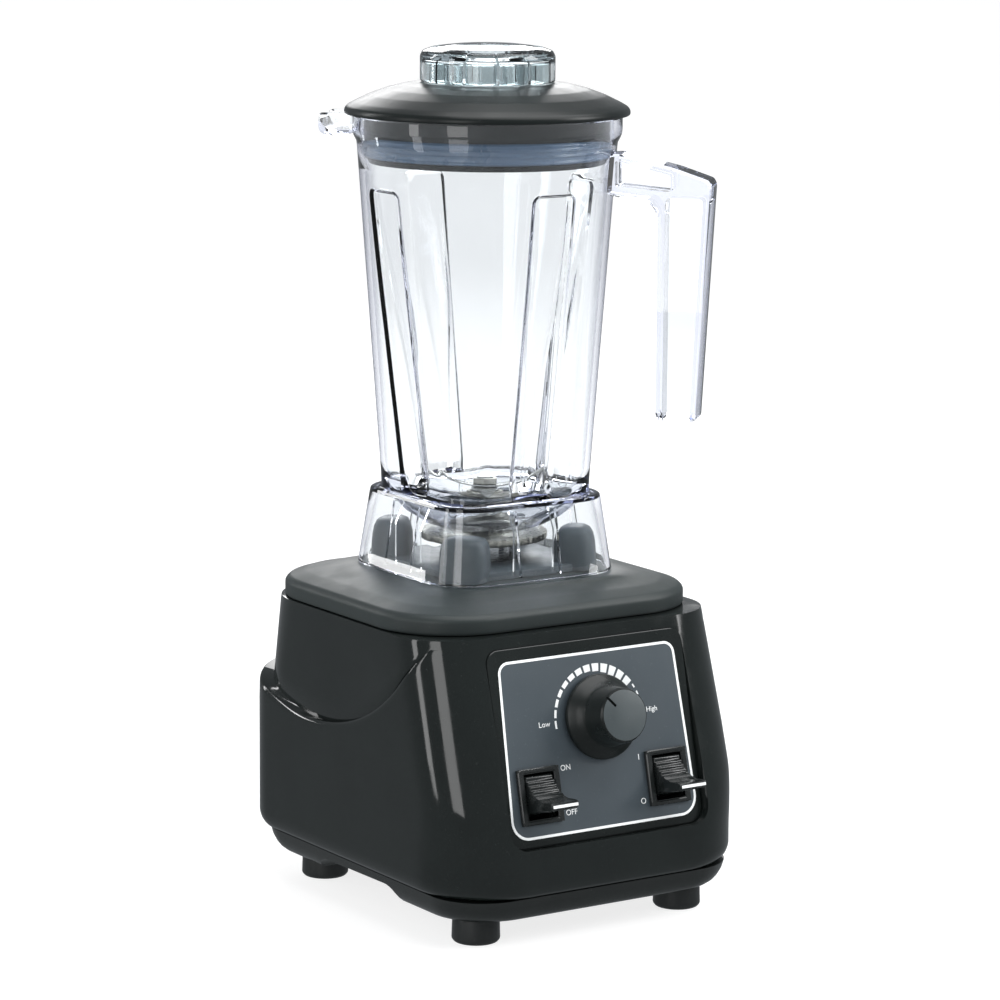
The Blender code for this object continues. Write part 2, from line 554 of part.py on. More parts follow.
def make_lid():
    look = finish("lid_rubber", (0.030, 0.036, 0.036), 0.42)
    profile = [(LID_RADIUS, JAR_TOP + GAP), (LID_RADIUS, 0.4715), (0.0800, 0.4750), (0.0720, 0.4790),
               (0.0610, 0.4830), (0.0520, 0.4858), (0.0420, 0.4872), (LID_HOLE, 0.4872), (LID_HOLE, 0.4700), (0.0300, 0.4700),
               (0.0320, 0.4800), (0.0600, 0.4765), (0.0688, 0.4700), (0.0682, 0.4406), (0.0712, 0.4406),
               (0.0732, 0.4560), (0.0735, JAR_TOP + GAP)]
    turned("lid", profile, look, 40, ring=True)


def make_filler_cap():
    look = finish("smoke_clear", (0.55, 0.60, 0.60), 0.08, 0.0, 0.45)
    profile = [(0.0226, 0.4660), (0.0250, 0.4660), (CAP_NECK, 0.4680), (CAP_NECK, 0.4875), (0.0385, 0.4875),
               (CAP_RADIUS, 0.4890), (CAP_RADIUS, 0.5030), (0.0370, 0.5070), (0.0200, 0.5094),
               (0.0030, TOTAL_HEIGHT)]
    turned("filler_cap", [(0.0030, 0.5065), (0.0180, 0.5058), (0.0226, 0.5035)] + profile, look, 32)


def make_motor():
    """A universal motor between two brackets, with its fan below and the drive socket on top."""
    steel = finish("lamination_steel", (0.22, 0.22, 0.23), 0.45, 1.0)
    copper = finish("copper", (0.72, 0.33, 0.16), 0.35, 1.0)
    aluminium = finish("bracket_aluminium", (0.62, 0.63, 0.64), 0.40, 1.0)
    bearing = finish("motor_bearing_steel", (0.52, 0.52, 0.54), 0.25, 1.0)
    stations = [(math.cos(a),
                 AXIS_Y + math.sin(a)) for a in (2 * math.pi * (i + 0.5) / 40 for i in range(40))]
    frame = [reshaped(stations, STATOR_HALF, 0.014, z) for z in (STATOR_LOW, STATOR_HIGH)]
    loft("stator", frame + [pole_loop(stations, z) for z in (STATOR_HIGH, STATOR_LOW)], steel,
         ring=True)
    for side, sign in (("front", -1), ("rear", 1)):
        make_coil(f"field_coil_{side}", AXIS_Y + sign * 0.0160, copper)
    make_bracket("motor_bracket_lower", 0.0680, 0.0720, STATOR_LOW - GAP, aluminium)
    make_bracket("motor_bracket_upper", 0.1600, 0.1640, STATOR_HIGH + GAP, aluminium)
    tube("motor_bearing_lower", BORE_RADIUS, 0.0110, 0.0670, 0.0730, bearing)
    tube("motor_bearing_upper", BORE_RADIUS, 0.0110, 0.1590, 0.1650, bearing)
    rubber = finish("mount_rubber", (0.020, 0.020, 0.020), 0.65)
    tube("motor_mount", 0.0280, 0.0380, 0.1643, PLATFORM_Z - COVER_WALL - GAP, rubber, 28)
    plastic = finish("shroud_plastic", (0.10, 0.10, 0.10), 0.50)
    tube("fan_shroud", 0.0475, 0.0500, PAN_TOP + GAP, 0.0677, plastic, 36)
    make_brushes()
    make_rotor(steel, copper, plastic)


def pole_loop(stations, z):
    """The stator's bore: close to the armature at its two poles, open where the coils lie."""
    loop = []
    for x, y in stations:
        a = math.atan2(y - AXIS_Y, x)
        r = POLE_BORE if abs(math.sin(a)) > math.sin(math.radians(42)) else 0.0410
        loop.append((r * math.cos(a), AXIS_Y + r * math.sin(a), z))
    return loop


def make_coil(name, y, look):
    """A rectangular winding round one pole, through the stator's side gaps."""
    outer = [(-0.0350, 0.0910), (0.0350, 0.0910), (0.0350, 0.1540), (-0.0350, 0.1540)]
    inner = [(-0.0285, 0.0990), (0.0285, 0.0990), (0.0285, 0.1460), (-0.0285, 0.1460)]
    half = 0.0034
    loops = [[(x, y + shift, z) for x, z in edge] for edge, shift in ((outer, -half), (outer, half))]
    loops += [[(x, y + shift, z) for x, z in edge] for edge, shift in ((inner, half), (inner, -half))]
    loft(name, loops, look, ring=True)


def make_bracket(name, low, high, post_end, look):
    stations = [(math.cos(a), AXIS_Y + math.sin(a)) for a in (2 * math.pi * i / 24 for i in range(24))]
    loops = [reshaped(stations, 0.0480, 0.0140, low), reshaped(stations, 0.0480, 0.0140, high),
             reshaped(stations, 0.0113, 0.0113, high), reshaped(stations, 0.0113, 0.0113, low)]
    plate = loft(name, loops, look, ring=True)
    middle = (low + high) / 2
    ends = sorted((middle, post_end))
    for i, (sx, sy) in enumerate(((1, 1), (-1, 1), (-1, -1), (1, -1))):
        center = (sx * 0.0405, AXIS_Y + sy * 0.0405)
        post = turned(f"{name}_post_{i}", [(0.0040, ends[0]), (0.0040, ends[1])], look, 10,
                      center=center)
        combine(plate, post, "UNION")


def make_brushes():
    brass = finish("brush_brass", (0.60, 0.48, 0.22), 0.35, 1.0)
    carbon = finish("carbon", (0.03, 0.03, 0.03), 0.60)

    def across(name, near, far, half, low, high, look):
        """A block that lies along x on one side of the shaft."""
        x = sorted((near, far))
        return block(name, (x[0], AXIS_Y - half, low), (x[1], AXIS_Y + half, high), look)

    for side, sign in (("left", -1), ("right", 1)):
        holder = across(f"brush_holder_{side}", sign * 0.0190, sign * 0.0400, 0.0055, 0.0785, 0.0875, brass)
        combine(holder, across(f"brush_slot_{side}", sign * 0.0100, sign * 0.0500, 0.0036, 0.0800, 0.0860,
                               brass))
        across(f"brush_{side}", sign * 0.0154, sign * 0.0330, 0.0032, 0.0804, 0.0856, carbon)


def make_rotor(steel, copper, plastic):
    shaft = finish("shaft_steel", (0.55, 0.55, 0.56), 0.25, 1.0)
    turned("motor_shaft", [(SHAFT_RADIUS, 0.0400), (SHAFT_RADIUS, 0.1950)], shaft, 16)
    tube("commutator", BORE_RADIUS, 0.0150, 0.0765, 0.0895, copper)
    tube("armature", BORE_RADIUS, ARMATURE_RADIUS, STATOR_LOW, STATOR_HIGH, steel, 32)
    blades = 9
    stations = [2 * math.pi * i / (blades * 4) for i in range(blades * 4)]
    star = [0.0430 if i % 4 == 0 or i % 4 == 1 else 0.0110 for i in range(len(stations))]
    wheel = [(r * math.cos(a), AXIS_Y + r * math.sin(a)) for r, a in zip(star, stations)]
    hub = [(BORE_RADIUS * math.cos(a), AXIS_Y + BORE_RADIUS * math.sin(a)) for a in stations]
    loft("cooling_fan", [at(0.0440, wheel), at(0.0560, wheel), at(0.0560, hub), at(0.0440, hub)],
         plastic, ring=True)
    socket = [(BORE_RADIUS, 0.1953), (BORE_RADIUS, 0.1860), (0.0145, 0.1860), (0.0145, 0.2105),
              (0.0130, 0.2120),
              (0.0063, 0.2120), (0.0063, 0.1990)]
    turned("drive_socket", socket, shaft, 24)


def make_electronics():
    green = finish("board_green", (0.03, 0.16, 0.08), 0.45)
    aluminium = finish("sink_aluminium", (0.60, 0.61, 0.62), 0.40, 1.0)
    block("speed_board", (-0.0380, -0.0700, 0.1050), (0.0380, -0.0684, 0.1620), green)
    fins, pitch, root, tip = 6, 0.0070, -0.0650, -0.0500
    comb = [(fins * pitch / 2, root - 0.0030)]
    for i in range(fins):
        x = (fins / 2 - i) * pitch
        comb += [(x, tip), (x - 0.0025, tip), (x - 0.0025, root), (x - pitch, root)]
    comb = comb[:-1] + [(comb[-2][0], root - 0.0030)]
    loft("heat_sink", [at(0.1150, comb), at(0.1500, comb)], aluminium)


def main():
    clear_scene()
    panel = bpy.data.objects.new("panel_frame", None)
    panel.location = (0, PANEL_Y, PANEL_Z)
    panel.rotation_euler = (math.pi / 2 - PANEL_TILT, 0, 0)
    bpy.context.collection.objects.link(panel)
    make_housing(panel)
    make_panel(panel)
    make_switch("left", SWITCH_LEFT_U, panel)
    make_switch("right", SWITCH_RIGHT_U, panel)
    make_knob(panel)
    make_cover()
    make_centering_pad()
    make_pan()
    make_feet()
    make_inlet()
    make_jar()
    make_blade_assembly()
    make_lid()
    make_filler_cap()
    make_motor()
    make_electronics()


main()
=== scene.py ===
"""The looks of the countertop blender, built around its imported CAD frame. Metres, +Z up."""

import math

import bmesh
import bpy
from mathutils import Matrix, Vector


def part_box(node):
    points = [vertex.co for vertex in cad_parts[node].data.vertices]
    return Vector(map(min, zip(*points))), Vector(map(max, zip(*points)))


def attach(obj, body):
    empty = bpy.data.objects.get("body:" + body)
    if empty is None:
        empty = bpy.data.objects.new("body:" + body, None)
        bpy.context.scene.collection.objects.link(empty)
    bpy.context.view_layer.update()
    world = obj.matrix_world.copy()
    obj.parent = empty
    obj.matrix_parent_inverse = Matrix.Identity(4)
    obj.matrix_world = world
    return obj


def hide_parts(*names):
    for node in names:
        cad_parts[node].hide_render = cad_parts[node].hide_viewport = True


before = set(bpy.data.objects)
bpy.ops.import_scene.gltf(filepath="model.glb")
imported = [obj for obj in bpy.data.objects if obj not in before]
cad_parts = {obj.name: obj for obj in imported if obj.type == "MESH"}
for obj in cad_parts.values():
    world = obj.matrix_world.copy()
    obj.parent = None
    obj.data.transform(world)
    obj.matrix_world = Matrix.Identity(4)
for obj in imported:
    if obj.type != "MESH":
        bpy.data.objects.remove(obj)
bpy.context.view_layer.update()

AXIS_Y = 0.0205

# Motor housing
HOUSING_BOTTOM, EDGE_Z, CHIN_Z = 0.0300, 0.0410, 0.0600
HOUSING_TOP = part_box("housing")[1].z
HALF_WIDTH, REAR_Y, FRONT_Y, FRONT_TOP_Y = 0.1060, 0.1295, -0.1195, -0.0830
STEP_LOWEST_Z, STEP_LOWEST_Y, STEP_BOW, STEP_START_Y, STEP_LIMIT = 0.1100, 0.0500, 3.17, -0.0960, 0.1725
STEP_FADE = 0.030

# Top cover
COVER_HALF, COVER_FRONT, COVER_REAR, COVER_RADIUS = 0.1035, -0.0748, 0.1170, 0.0500
PLATFORM_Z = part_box("top_cover")[1].z

# Control panel: its own frame has x to the right, y up the slope and z out of the panel
TILT = math.radians(13.38)
PLATE_HALF, PLATE_LOW, PLATE_HIGH = 0.0686, -0.0046, 0.1104
BORDER_LEAN = 0.0031
PANEL = Matrix.Translation((0, -0.1119, 0.0636)) @ Matrix.Rotation(math.pi / 2 - TILT, 4, "X")
KNOB_U, KNOB_V = 0.0038, 0.0645
SWITCHES = (("left", "power", -0.0442), ("right", "pulse", 0.0460))
SWITCH_V, LEVER_N, LEVER_HALF = 0.0245, -0.0020, 0.0093
WINDOW_HALF, WINDOW_REACH, SHAFT_HOLE = 0.0124, 0.0143, 0.0048
CUT_BELOW, CUT_ABOVE = -0.03, 0.01

# Jar
SKIRT_BOTTOM, LEDGE_Z, JAR_TOP, WALL = 0.1978, 0.2440, 0.4685, 0.0034
LOW_HALF, TOP_HALF, LOW_RADIUS, LOW_Z, ROUND_Z = 0.0500, 0.0770, 0.0180, 0.2500, 0.4500
FLUTE_TOP, FLUTE_HALF, FLUTE_EDGE, FLUTE_STEP, FLUTE_DEEP = 0.4262, 0.0135, 0.0022, 0.0022, 0.0048
FLUTE_CORNER = 0.0045
CORNER_STATIONS = 14
FLOOR_TOP, FLOOR_UNDER, FLOOR_HOLE = 0.2260, 0.2215, 0.0125
HANDLE_TURN, SPOUT_TURN = math.radians(-135), math.radians(45)

LID_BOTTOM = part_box("lid")[0].z
TOTAL_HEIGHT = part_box("filler_cap")[1].z
BLADE_TURN = math.radians(-33)

# The camera looks along this turn from +Y
VIEW_TURN = math.radians(-33.38)


# ---------------------------------------------------------------- materials

class Nodes:
    """A material's node tree, with short calls for the nodes used here."""

    def __init__(self, name):
        self.material = bpy.data.materials.new(name)
        self.material.use_nodes = True
        self.tree = self.material.node_tree
        self.shader = self.tree.nodes["Principled BSDF"]
        self.place = self.add("ShaderNodeTexCoord").outputs["Object"]

    def add(self, kind, values=None, **settings):
        node = self.tree.nodes.new(kind)
        for key, value in settings.items():
            setattr(node, key, value)
        for key, value in (values or {}).items():
            if isinstance(value, bpy.types.NodeSocket):
                self.tree.links.new(value, node.inputs[key])
            else:
                node.inputs[key].default_value = value
        return node

    def noise(self, scale, detail=4.0, rough=0.55, stretch=None):
        """A noise pattern fixed to the object, between 0 and 1."""
        vector = self.place
        if stretch:
            vector = self.add("ShaderNodeMapping", {"Vector": vector, "Scale": stretch}).outputs[0]
        values = {"Vector": vector, "Scale": scale, "Detail": detail, "Roughness": rough}
        return self.add("ShaderNodeTexNoise", values).outputs["Fac"]

    def spread(self, value, low, high, start=0.35, end=0.65):
        """Stretch the part of a value between start and end over low to high."""
        values = {"Value": value, "From Min": start, "From Max": end, "To Min": low, "To Max": high}
        return self.add("ShaderNodeMapRange", values).outputs[0]

    def blend(self, share, first, second):
        node = self.add("ShaderNodeMix", data_type="RGBA")
        self.tree.links.new(share, node.inputs["Factor"])
        for socket, value in ((node.inputs[6], first), (node.inputs[7], second)):
            if isinstance(value, bpy.types.NodeSocket):
                self.tree.links.new(value, socket)
            else:
                socket.default_value = (*value, 1.0)
        return node.outputs[2]

    def feed(self, socket, value):
        self.tree.links.new(value, self.shader.inputs[socket])

    def bump(self, height, strength, distance, below=None):
        values = {"Height": height, "Strength": strength, "Distance": distance}
        if below:
            values["Normal"] = below
        return self.add("ShaderNodeBump", values).outputs[0]

    def set(self, **values):
        for key, value in values.items():
            self.shader.inputs[key.replace("_", " ")].default_value = value


def scaled(color, share):
    """A colour made lighter or darker."""
    return tuple(c * share for c in color)


def moulded(name, color, rough, grain=900.0, depth=0.00004, strength=0.3, spread=0.25, wear=0.35, patchy=0.10,
            **sockets):
    """Moulded plastic or rubber: skin texture, rubbed patches, faint dust and worn edges."""
    n = Nodes(name)
    patches = n.noise(22.0, 6.0, 0.6)
    tone = n.blend(n.spread(patches, 0.0, 1.0), scaled(color, 1 - patchy), scaled(color, 1 + patchy))
    dust = n.spread(n.noise(620.0, 2.0, 0.5), 0.0, 0.35, 0.66, 0.78)
    tone = n.blend(dust, tone, tuple(0.02 + c * 1.7 for c in color))
    edge = n.add("ShaderNodeNewGeometry").outputs["Pointiness"]
    worn = n.spread(edge, 0.0, wear, 0.53, 0.62)
    tone = n.blend(worn, tone, tuple(0.03 + c * 1.6 for c in color))
    n.feed("Base Color", tone)
    n.feed("Roughness", n.spread(n.noise(46.0, 5.0, 0.65), rough * (1 - spread), rough * (1 + spread)))
    skin = n.bump(n.noise(grain, 3.0, 0.6), strength, depth)
    n.feed("Normal", n.bump(n.noise(60.0, 3.0, 0.5), strength * 0.25, 0.0002, skin))
    n.set(**sockets)
    return n.material


def metal(name, color, rough, stretch=(1.0, 1.0, 30.0), grain=160.0, strength=0.25, anisotropic=0.0):
    """Metal with brushing or turning marks, patches of handling and a few darker spots."""
    n = Nodes(name)
    lines = n.noise(grain, 5.0, 0.7, stretch)
    patches = n.noise(38.0, 5.0, 0.6)
    tone = n.blend(n.spread(patches, 0.0, 1.0), scaled(color, 0.80), scaled(color, 1.10))
    n.feed("Base Color", n.blend(n.spread(lines, 0.0, 0.35), tone, scaled(color, 0.62)))
    n.feed("Roughness", n.spread(lines, rough * 0.7, rough * 1.4))
    n.feed("Normal", n.bump(lines, strength, 0.00005))
    n.set(Metallic=1.0, Anisotropic=anisotropic)
    return n.material


def laminated(name, color):
    """Stacked steel sheets: fine level lines up the height, with a varnish on them."""
    n = Nodes(name)
    sheets = n.add("ShaderNodeTexWave", {"Vector": n.place, "Scale": 320.0, "Distortion": 0.3, "Detail": 1.0},
                   bands_direction="Z").outputs["Fac"]
    patches = n.noise(50.0, 5.0)
    tone = n.blend(n.spread(patches, 0.0, 1.0), scaled(color, 0.75), scaled(color, 1.2))
    n.feed("Base Color", n.blend(n.spread(sheets, 0.0, 0.5, 0.1, 0.9), tone, scaled(color, 0.45)))
    n.feed("Roughness", n.spread(patches, 0.32, 0.55))
    n.feed("Normal", n.bump(sheets, 0.5, 0.0002))
    n.set(Metallic=1.0)
    return n.material


def wound(name, color, direction, scale=260.0):
    """Enamelled wire laid side by side, or the bars of a commutator."""
    n = Nodes(name)
    turns = n.add("ShaderNodeTexWave", {"Vector": n.place, "Scale": scale, "Distortion": 0.8, "Detail": 2.0},
                  bands_direction=direction).outputs["Fac"]
    patches = n.noise(70.0, 5.0)
    tone = n.blend(n.spread(patches, 0.0, 1.0), scaled(color, 0.75), scaled(color, 1.15))
    n.feed("Base Color", n.blend(n.spread(turns, 0.6, 0.0, 0.1, 0.6), tone, scaled(color, 0.3)))
    n.feed("Roughness", n.spread(patches, 0.25, 0.45))
    n.feed("Normal", n.bump(turns, 0.8, 0.0004))
    n.set(Metallic=1.0)
    return n.material


def clear(name, tint, painted_edge_shade, depth_tint, density, rough=0.02, ior=1.42):
    """Clear moulded plastic: painted edge shade where it turns away, darker where it is deep, with flow marks
    and haze.

    Lamps pass through it."""
    n = Nodes(name)
    haze = n.noise(30.0, 6.0, 0.65)
    face = n.blend(n.spread(haze, 0.0, 1.0), tint, scaled(tint, 0.985))
    # Painted shade: the base colour darkens where the surface turns away, to give the jar and cap dark rims.
    turned_away = n.add("ShaderNodeLayerWeight", {"Blend": 0.5}).outputs["Facing"]
    n.feed("Base Color", n.blend(n.spread(turned_away, 0.0, 1.0, 0.52, 0.93), face, painted_edge_shade))
    n.feed("Roughness", n.spread(haze, rough * 0.5, rough * 2.2, 0.4, 0.75))
    n.feed("Normal", n.bump(n.noise(28.0, 2.0, 0.4), 0.05, 0.0008))
    n.set(Transmission_Weight=1.0, IOR=ior)
    through = n.add("ShaderNodeBsdfTransparent", {"Color": (*scaled(tint, 0.96), 1.0)})
    lamps = n.add("ShaderNodeLightPath").outputs["Is Shadow Ray"]
    both = n.add("ShaderNodeMixShader", {0: lamps, 1: n.shader.outputs[0], 2: through.outputs[0]})
    output = n.tree.nodes["Material Output"]
    n.tree.links.new(both.outputs[0], output.inputs["Surface"])
    inside = n.add("ShaderNodeVolumeAbsorption", {"Color": (*depth_tint, 1.0), "Density": density})
    n.tree.links.new(inside.outputs[0], output.inputs["Volume"])
    return n.material


LOOKS = {
    "gloss": moulded("gloss_black", (0.0085, 0.0110, 0.0105), 0.085, 260.0, 0.00002, 0.02, 0.45, 0.15,
                     Specular_IOR_Level=0.45),
    "cover": moulded("matte_cover", (0.023, 0.030, 0.030), 0.47, 1500.0, 0.00008, 0.40, 0.07, 0.30, 0.035,
                     Specular_IOR_Level=0.35),
    "pad": moulded("pad_rubber", (0.034, 0.044, 0.050), 0.50, 1100.0, 0.00006, 0.35),
    "pan": moulded("pan_black", (0.0085, 0.0105, 0.0100), 0.20, 700.0, 0.00004, 0.20, 0.30, 0.20),
    "foot": moulded("foot_rubber", (0.0100, 0.0120, 0.0120), 0.42, 1200.0, 0.00008, 0.40),
    "panel": moulded("panel_slate", (0.046, 0.060, 0.071), 0.36, 1700.0, 0.00003, 0.22, 0.08, 0.10, 0.03),
    "print": moulded("panel_print", (0.80, 0.82, 0.82), 0.40, 1500.0, 0.00002, 0.20, 0.20, 0.05),
    "frame": moulded("panel_frame", (0.0085, 0.0110, 0.0105), 0.16, 900.0, 0.00003, 0.10, 0.20, 0.15,
                     Specular_IOR_Level=0.40),
    "border": moulded("panel_border", (0.88, 0.90, 0.90), 0.30, 1500.0, 0.00002, 0.20, 0.20, 0.05),
    "switch": moulded("switch_black", (0.0080, 0.0100, 0.0100), 0.24, 900.0, 0.00004, 0.20),
    "knob": moulded("knob_black", (0.0080, 0.0105, 0.0102), 0.32, 1400.0, 0.00005, 0.30,
                    Specular_IOR_Level=0.30),
    "knob_face": moulded("knob_face", (0.050, 0.062, 0.066), 0.42, 1400.0, 0.00005, 0.30),
    "lid": moulded("lid_rubber", (0.0075, 0.0100, 0.0098), 0.33, 1000.0, 0.00004, 0.22, 0.12,
                   Specular_IOR_Level=0.24),
    "seal": moulded("lid_seal", (0.075, 0.118, 0.180), 0.32, 900.0, 0.00004, 0.20),
    "shroud": moulded("shroud_plastic", (0.085, 0.088, 0.090), 0.45),
    "mount": moulded("mount_rubber", (0.018, 0.019, 0.019), 0.60),
    "carbon": moulded("brush_carbon", (0.020, 0.020, 0.021), 0.50, 500.0, 0.0001, 0.50),
    "board": moulded("board_green", (0.018, 0.120, 0.060), 0.32, 500.0, 0.00006, 0.30),
    "steel": metal("ground_steel", (0.55, 0.56, 0.57), 0.24),
    "blade": metal("blade_steel", (0.36, 0.37, 0.36), 0.20, (1.0, 12.0, 1.0), 220.0, 0.20),
    "nut": metal("retainer_steel", (0.34, 0.335, 0.30), 0.30, (1.0, 1.0, 18.0)),
    "screw": metal("plated_screw", (0.52, 0.51, 0.47), 0.32, (1.0, 1.0, 6.0)),
    "cast": metal("cast_aluminium", (0.60, 0.61, 0.62), 0.42, (1.0, 1.0, 1.0), 420.0, 0.60),
    "brass": metal("stamped_brass", (0.62, 0.48, 0.20), 0.34, (6.0, 1.0, 1.0)),
    "core": laminated("lamination_steel", (0.24, 0.24, 0.25)),
    "coil": wound("copper_wire", (0.74, 0.33, 0.14), "X"),
    "bars": wound("commutator_copper", (0.70, 0.38, 0.20), "X", 120.0),
    "jar": clear("jar_clear", (0.950, 0.965, 0.965), (0.15, 0.16, 0.25), (0.74, 0.77, 0.90), 34.0),
    "cap": clear("cap_clear", (0.80, 0.84, 0.85), (0.14, 0.17, 0.19), (0.50, 0.56, 0.60), 30.0),
}


# ---------------------------------------------------------------- mesh work

def piece(name, points, faces, look, body, angle=32.0, matrix=None):
    """One mesh piece that rides on a body, its faces turned outwards."""
    mesh = bpy.data.meshes.new(name)
    mesh.from_pydata([tuple(matrix @ Vector(p)) if matrix else tuple(p) for p in points], [], faces)
    work = bmesh.new()
    work.from_mesh(mesh)
    bmesh.ops.recalc_face_normals(work, faces=work.faces)
    work.to_mesh(mesh)
    work.free()
    mesh.shade_smooth()
    mesh.set_sharp_from_angle(angle=math.radians(angle))
    mesh.materials.append(LOOKS[look])
    obj = bpy.data.objects.new(name, mesh)
    bpy.context.scene.collection.objects.link(obj)
    if body:
        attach(obj, body)
    return obj


def loft(name, loops, look, body, ring=False, **more):
    """Skin loops of equal length; a ring joins the last loop to the first, any other piece is capped."""
    count = len(loops[0])
    points = [p for loop in loops for p in loop]
    faces = []
    for level in range(len(loops) if ring else len(loops) - 1):
        low, high = level * count, (level + 1) % len(loops) * count
        faces += [(low + i, low + (i + 1) % count, high + (i + 1) % count, high + i) for i in range(count)]
    if not ring:
        faces += [tuple(range(count))[::-1], tuple(range(len(points) - count, len(points)))]
    return piece(name, points, faces, look, body, **more)


def circle(radius, z, segments, center):
    turns = [2 * math.pi * i / segments for i in range(segments)]
    return [(center[0] + radius * math.cos(a), center[1] + radius * math.sin(a), z) for a in turns]


def turned(name, profile, look, body, ring=False, segments=128, center=(0.0, AXIS_Y), **more):
    """Turn (radius, height) points about a vertical line."""
    loops = [circle(r, z, segments, center) for r, z in profile]
    return loft(name, loops, look, body, ring, **more)


def soften(points, radius, closed=False, steps=4):
    """Round the corners of a line or outline of (x, y) points."""
    out, count = [], len(points)
    for i, p in enumerate(points):
        if not closed and i in (0, count - 1):
            out.append(p)
            continue
        here = Vector(p)
        before, after = Vector(points[i - 1]) - here, Vector(points[(i + 1) % count]) - here
        if before.angle(after, 0.0) > math.radians(176):
            out.append(p)
            continue
        reach = min(radius, before.length * 0.45, after.length * 0.45)
        start, end = here + before.normalized() * reach, here + after.normalized() * reach
        for k in range(steps + 1):
            t = k / steps
            out.append(tuple(start * (1 - t) ** 2 + here * 2 * t * (1 - t) + end * t * t))
    return out


def prism(name, outline, low, high, look, body, matrix=None, bevel=0.0):
    """Extrude a flat outline between two heights, its rims rounded by the bevel."""
    center = sum((Vector(p) for p in outline), Vector((0, 0))) / len(outline)
    span = max((Vector(p) - center).length for p in outline)
    loops = []
    for share in ((0.0, 0.3, 1.0) if bevel else (0.0,)):
        shrink = 1 - bevel * (1 - share) ** 2 / span
        loops.append([(*(center + (Vector(p) - center) * shrink), low + bevel * share) for p in outline])
    for share in ((1.0, 0.3, 0.0) if bevel else (0.0,)):
        shrink = 1 - bevel * (1 - share) ** 2 / span
        loops.append([(*(center + (Vector(p) - center) * shrink), high - bevel * share) for p in outline])
    return loft(name, loops, look, body, matrix=matrix)


def combine(target, tools, operation="DIFFERENCE"):
    """Join tools to a piece or cut them out of it, and leave only the result."""
    target.parent, world = None, target.matrix_world.copy()
    for tool in tools:
        step = target.modifiers.new(tool.name, "BOOLEAN")
        step.operation, step.object, step.solver = operation, tool, "EXACT"
    bpy.context.view_layer.update()
    made = bpy.data.meshes.new_from_object(target.evaluated_get(bpy.context.evaluated_depsgraph_get()))
    target.modifiers.clear()
    target.data = made
    target.matrix_world = world
    for tool in tools:
        bpy.data.objects.remove(tool)
    made.shade_smooth()
    made.set_sharp_from_angle(angle=math.radians(30))


def mix(a, b, share):
    """Go from a to b by a share."""
    return a + (b - a) * share


def ease(share):
    """A share from 0 to 1 that starts and ends gently."""
    share = min(max(share, 0.0), 1.0)
    return share * share * (3 - 2 * share)


def steps_between(first, last, count):
    """Even steps, both ends included."""
    return [mix(first, last, i / count) for i in range(count + 1)]


def rounded_square(angle, half, corner):
    """Distance from the centre to a rounded square, at an angle."""
    fold = abs((angle + math.pi / 4) % (math.pi / 2) - math.pi / 4)
    if math.tan(fold) * half <= half - corner:
        return half / math.cos(fold)
    offset = half - corner
    along = offset * (math.cos(fold) + math.sin(fold))
    return along + math.sqrt(max(along * along - 2 * offset * offset + corner * corner, 0.0))


def plan(half_width, front, rear, front_radius, rear_radius):
    """A closed plan outline with round corners, mirrored about x = 0, from the front's middle."""
    corner_steps, side_steps, end_steps = 16, 30, 8
    half = [(x, front) for x in steps_between(0.0, half_width - front_radius, end_steps)[:-1]]
    x, y = half_width - front_radius, front + front_radius
    for a in steps_between(-math.pi / 2, 0.0, corner_steps):
        half.append((x + front_radius * math.cos(a), y + front_radius * math.sin(a)))
    half += [(half_width, y) for y in steps_between(y, rear - rear_radius, side_steps)[1:-1]]
    x, y = half_width - rear_radius, rear - rear_radius
    for a in steps_between(0.0, math.pi / 2, corner_steps):
        half.append((x + rear_radius * math.cos(a), y + rear_radius * math.sin(a)))
    half += [(x, rear) for x in steps_between(x, 0.0, end_steps)[1:]]
    return half + [(-x, y) for x, y in reversed(half[1:-1])]


def at(z, flat):
    """A flat outline lifted to a height."""
    return [(x, y, z) for x, y in flat]


def panel_rectangle(half, low, high, low_radius, high_radius, lean=0.0, steps=10):
    """A rounded rectangle in the panel's frame, a little narrower at the top by its lean."""
    flat = []
    for x, y, r, quarter in ((half, low, low_radius, -1), (half - lean, high, high_radius, 0),
                             (-half + lean, high, high_radius, 1), (-half, low, low_radius, 2)):
        cx, cy = x - math.copysign(r, x), y + (r if y == low else -r)
        for a in steps_between(math.pi / 2 * quarter, math.pi / 2 * (quarter + 1), steps):
            flat.append((cx + r * math.cos(a), cy + r * math.sin(a)))
    return flat


# ---------------------------------------------------------------- the base

def lower_shell(z, inset=0.0):
    """The shell's outline at a height, below the swept step."""
    rise = max(z - CHIN_Z, 0.0) / (HOUSING_TOP - CHIN_Z)
    blend = 0.001 * math.exp(-abs(z - CHIN_Z) / 0.006)
    front = mix(FRONT_Y, FRONT_TOP_Y, rise) + blend
    half = HALF_WIDTH - max(0.0, z - STEP_LOWEST_Z) * 0.022
    drop = min(max((z - HOUSING_BOTTOM) / (EDGE_Z - HOUSING_BOTTOM), 0.0), 1.0)
    tuck = 0.0060 * (1 - math.sqrt(1 - (1 - drop) ** 2)) + inset
    radius = mix(0.047, 0.037, ease((z - 0.050) / 0.040))
    return plan(half - tuck, front + tuck, REAR_Y - tuck, radius - inset, 0.030 - inset)


def upper_shell(z, inset=0.0):
    """The shell's set-back outline at a height, above the swept step."""
    rise = min(max((z - STEP_LOWEST_Z) / (HOUSING_TOP - STEP_LOWEST_Z), 0.0), 1.0)
    front = mix(FRONT_Y, FRONT_TOP_Y, (z - CHIN_Z) / (HOUSING_TOP - CHIN_Z)) + inset
    rear = AXIS_Y + mix(0.1044, 0.0980, rise) - inset
    return plan(mix(0.1020, 0.1045, rise) - inset, front, rear, 0.037 - inset,
                mix(0.035, 0.048, rise) - inset)


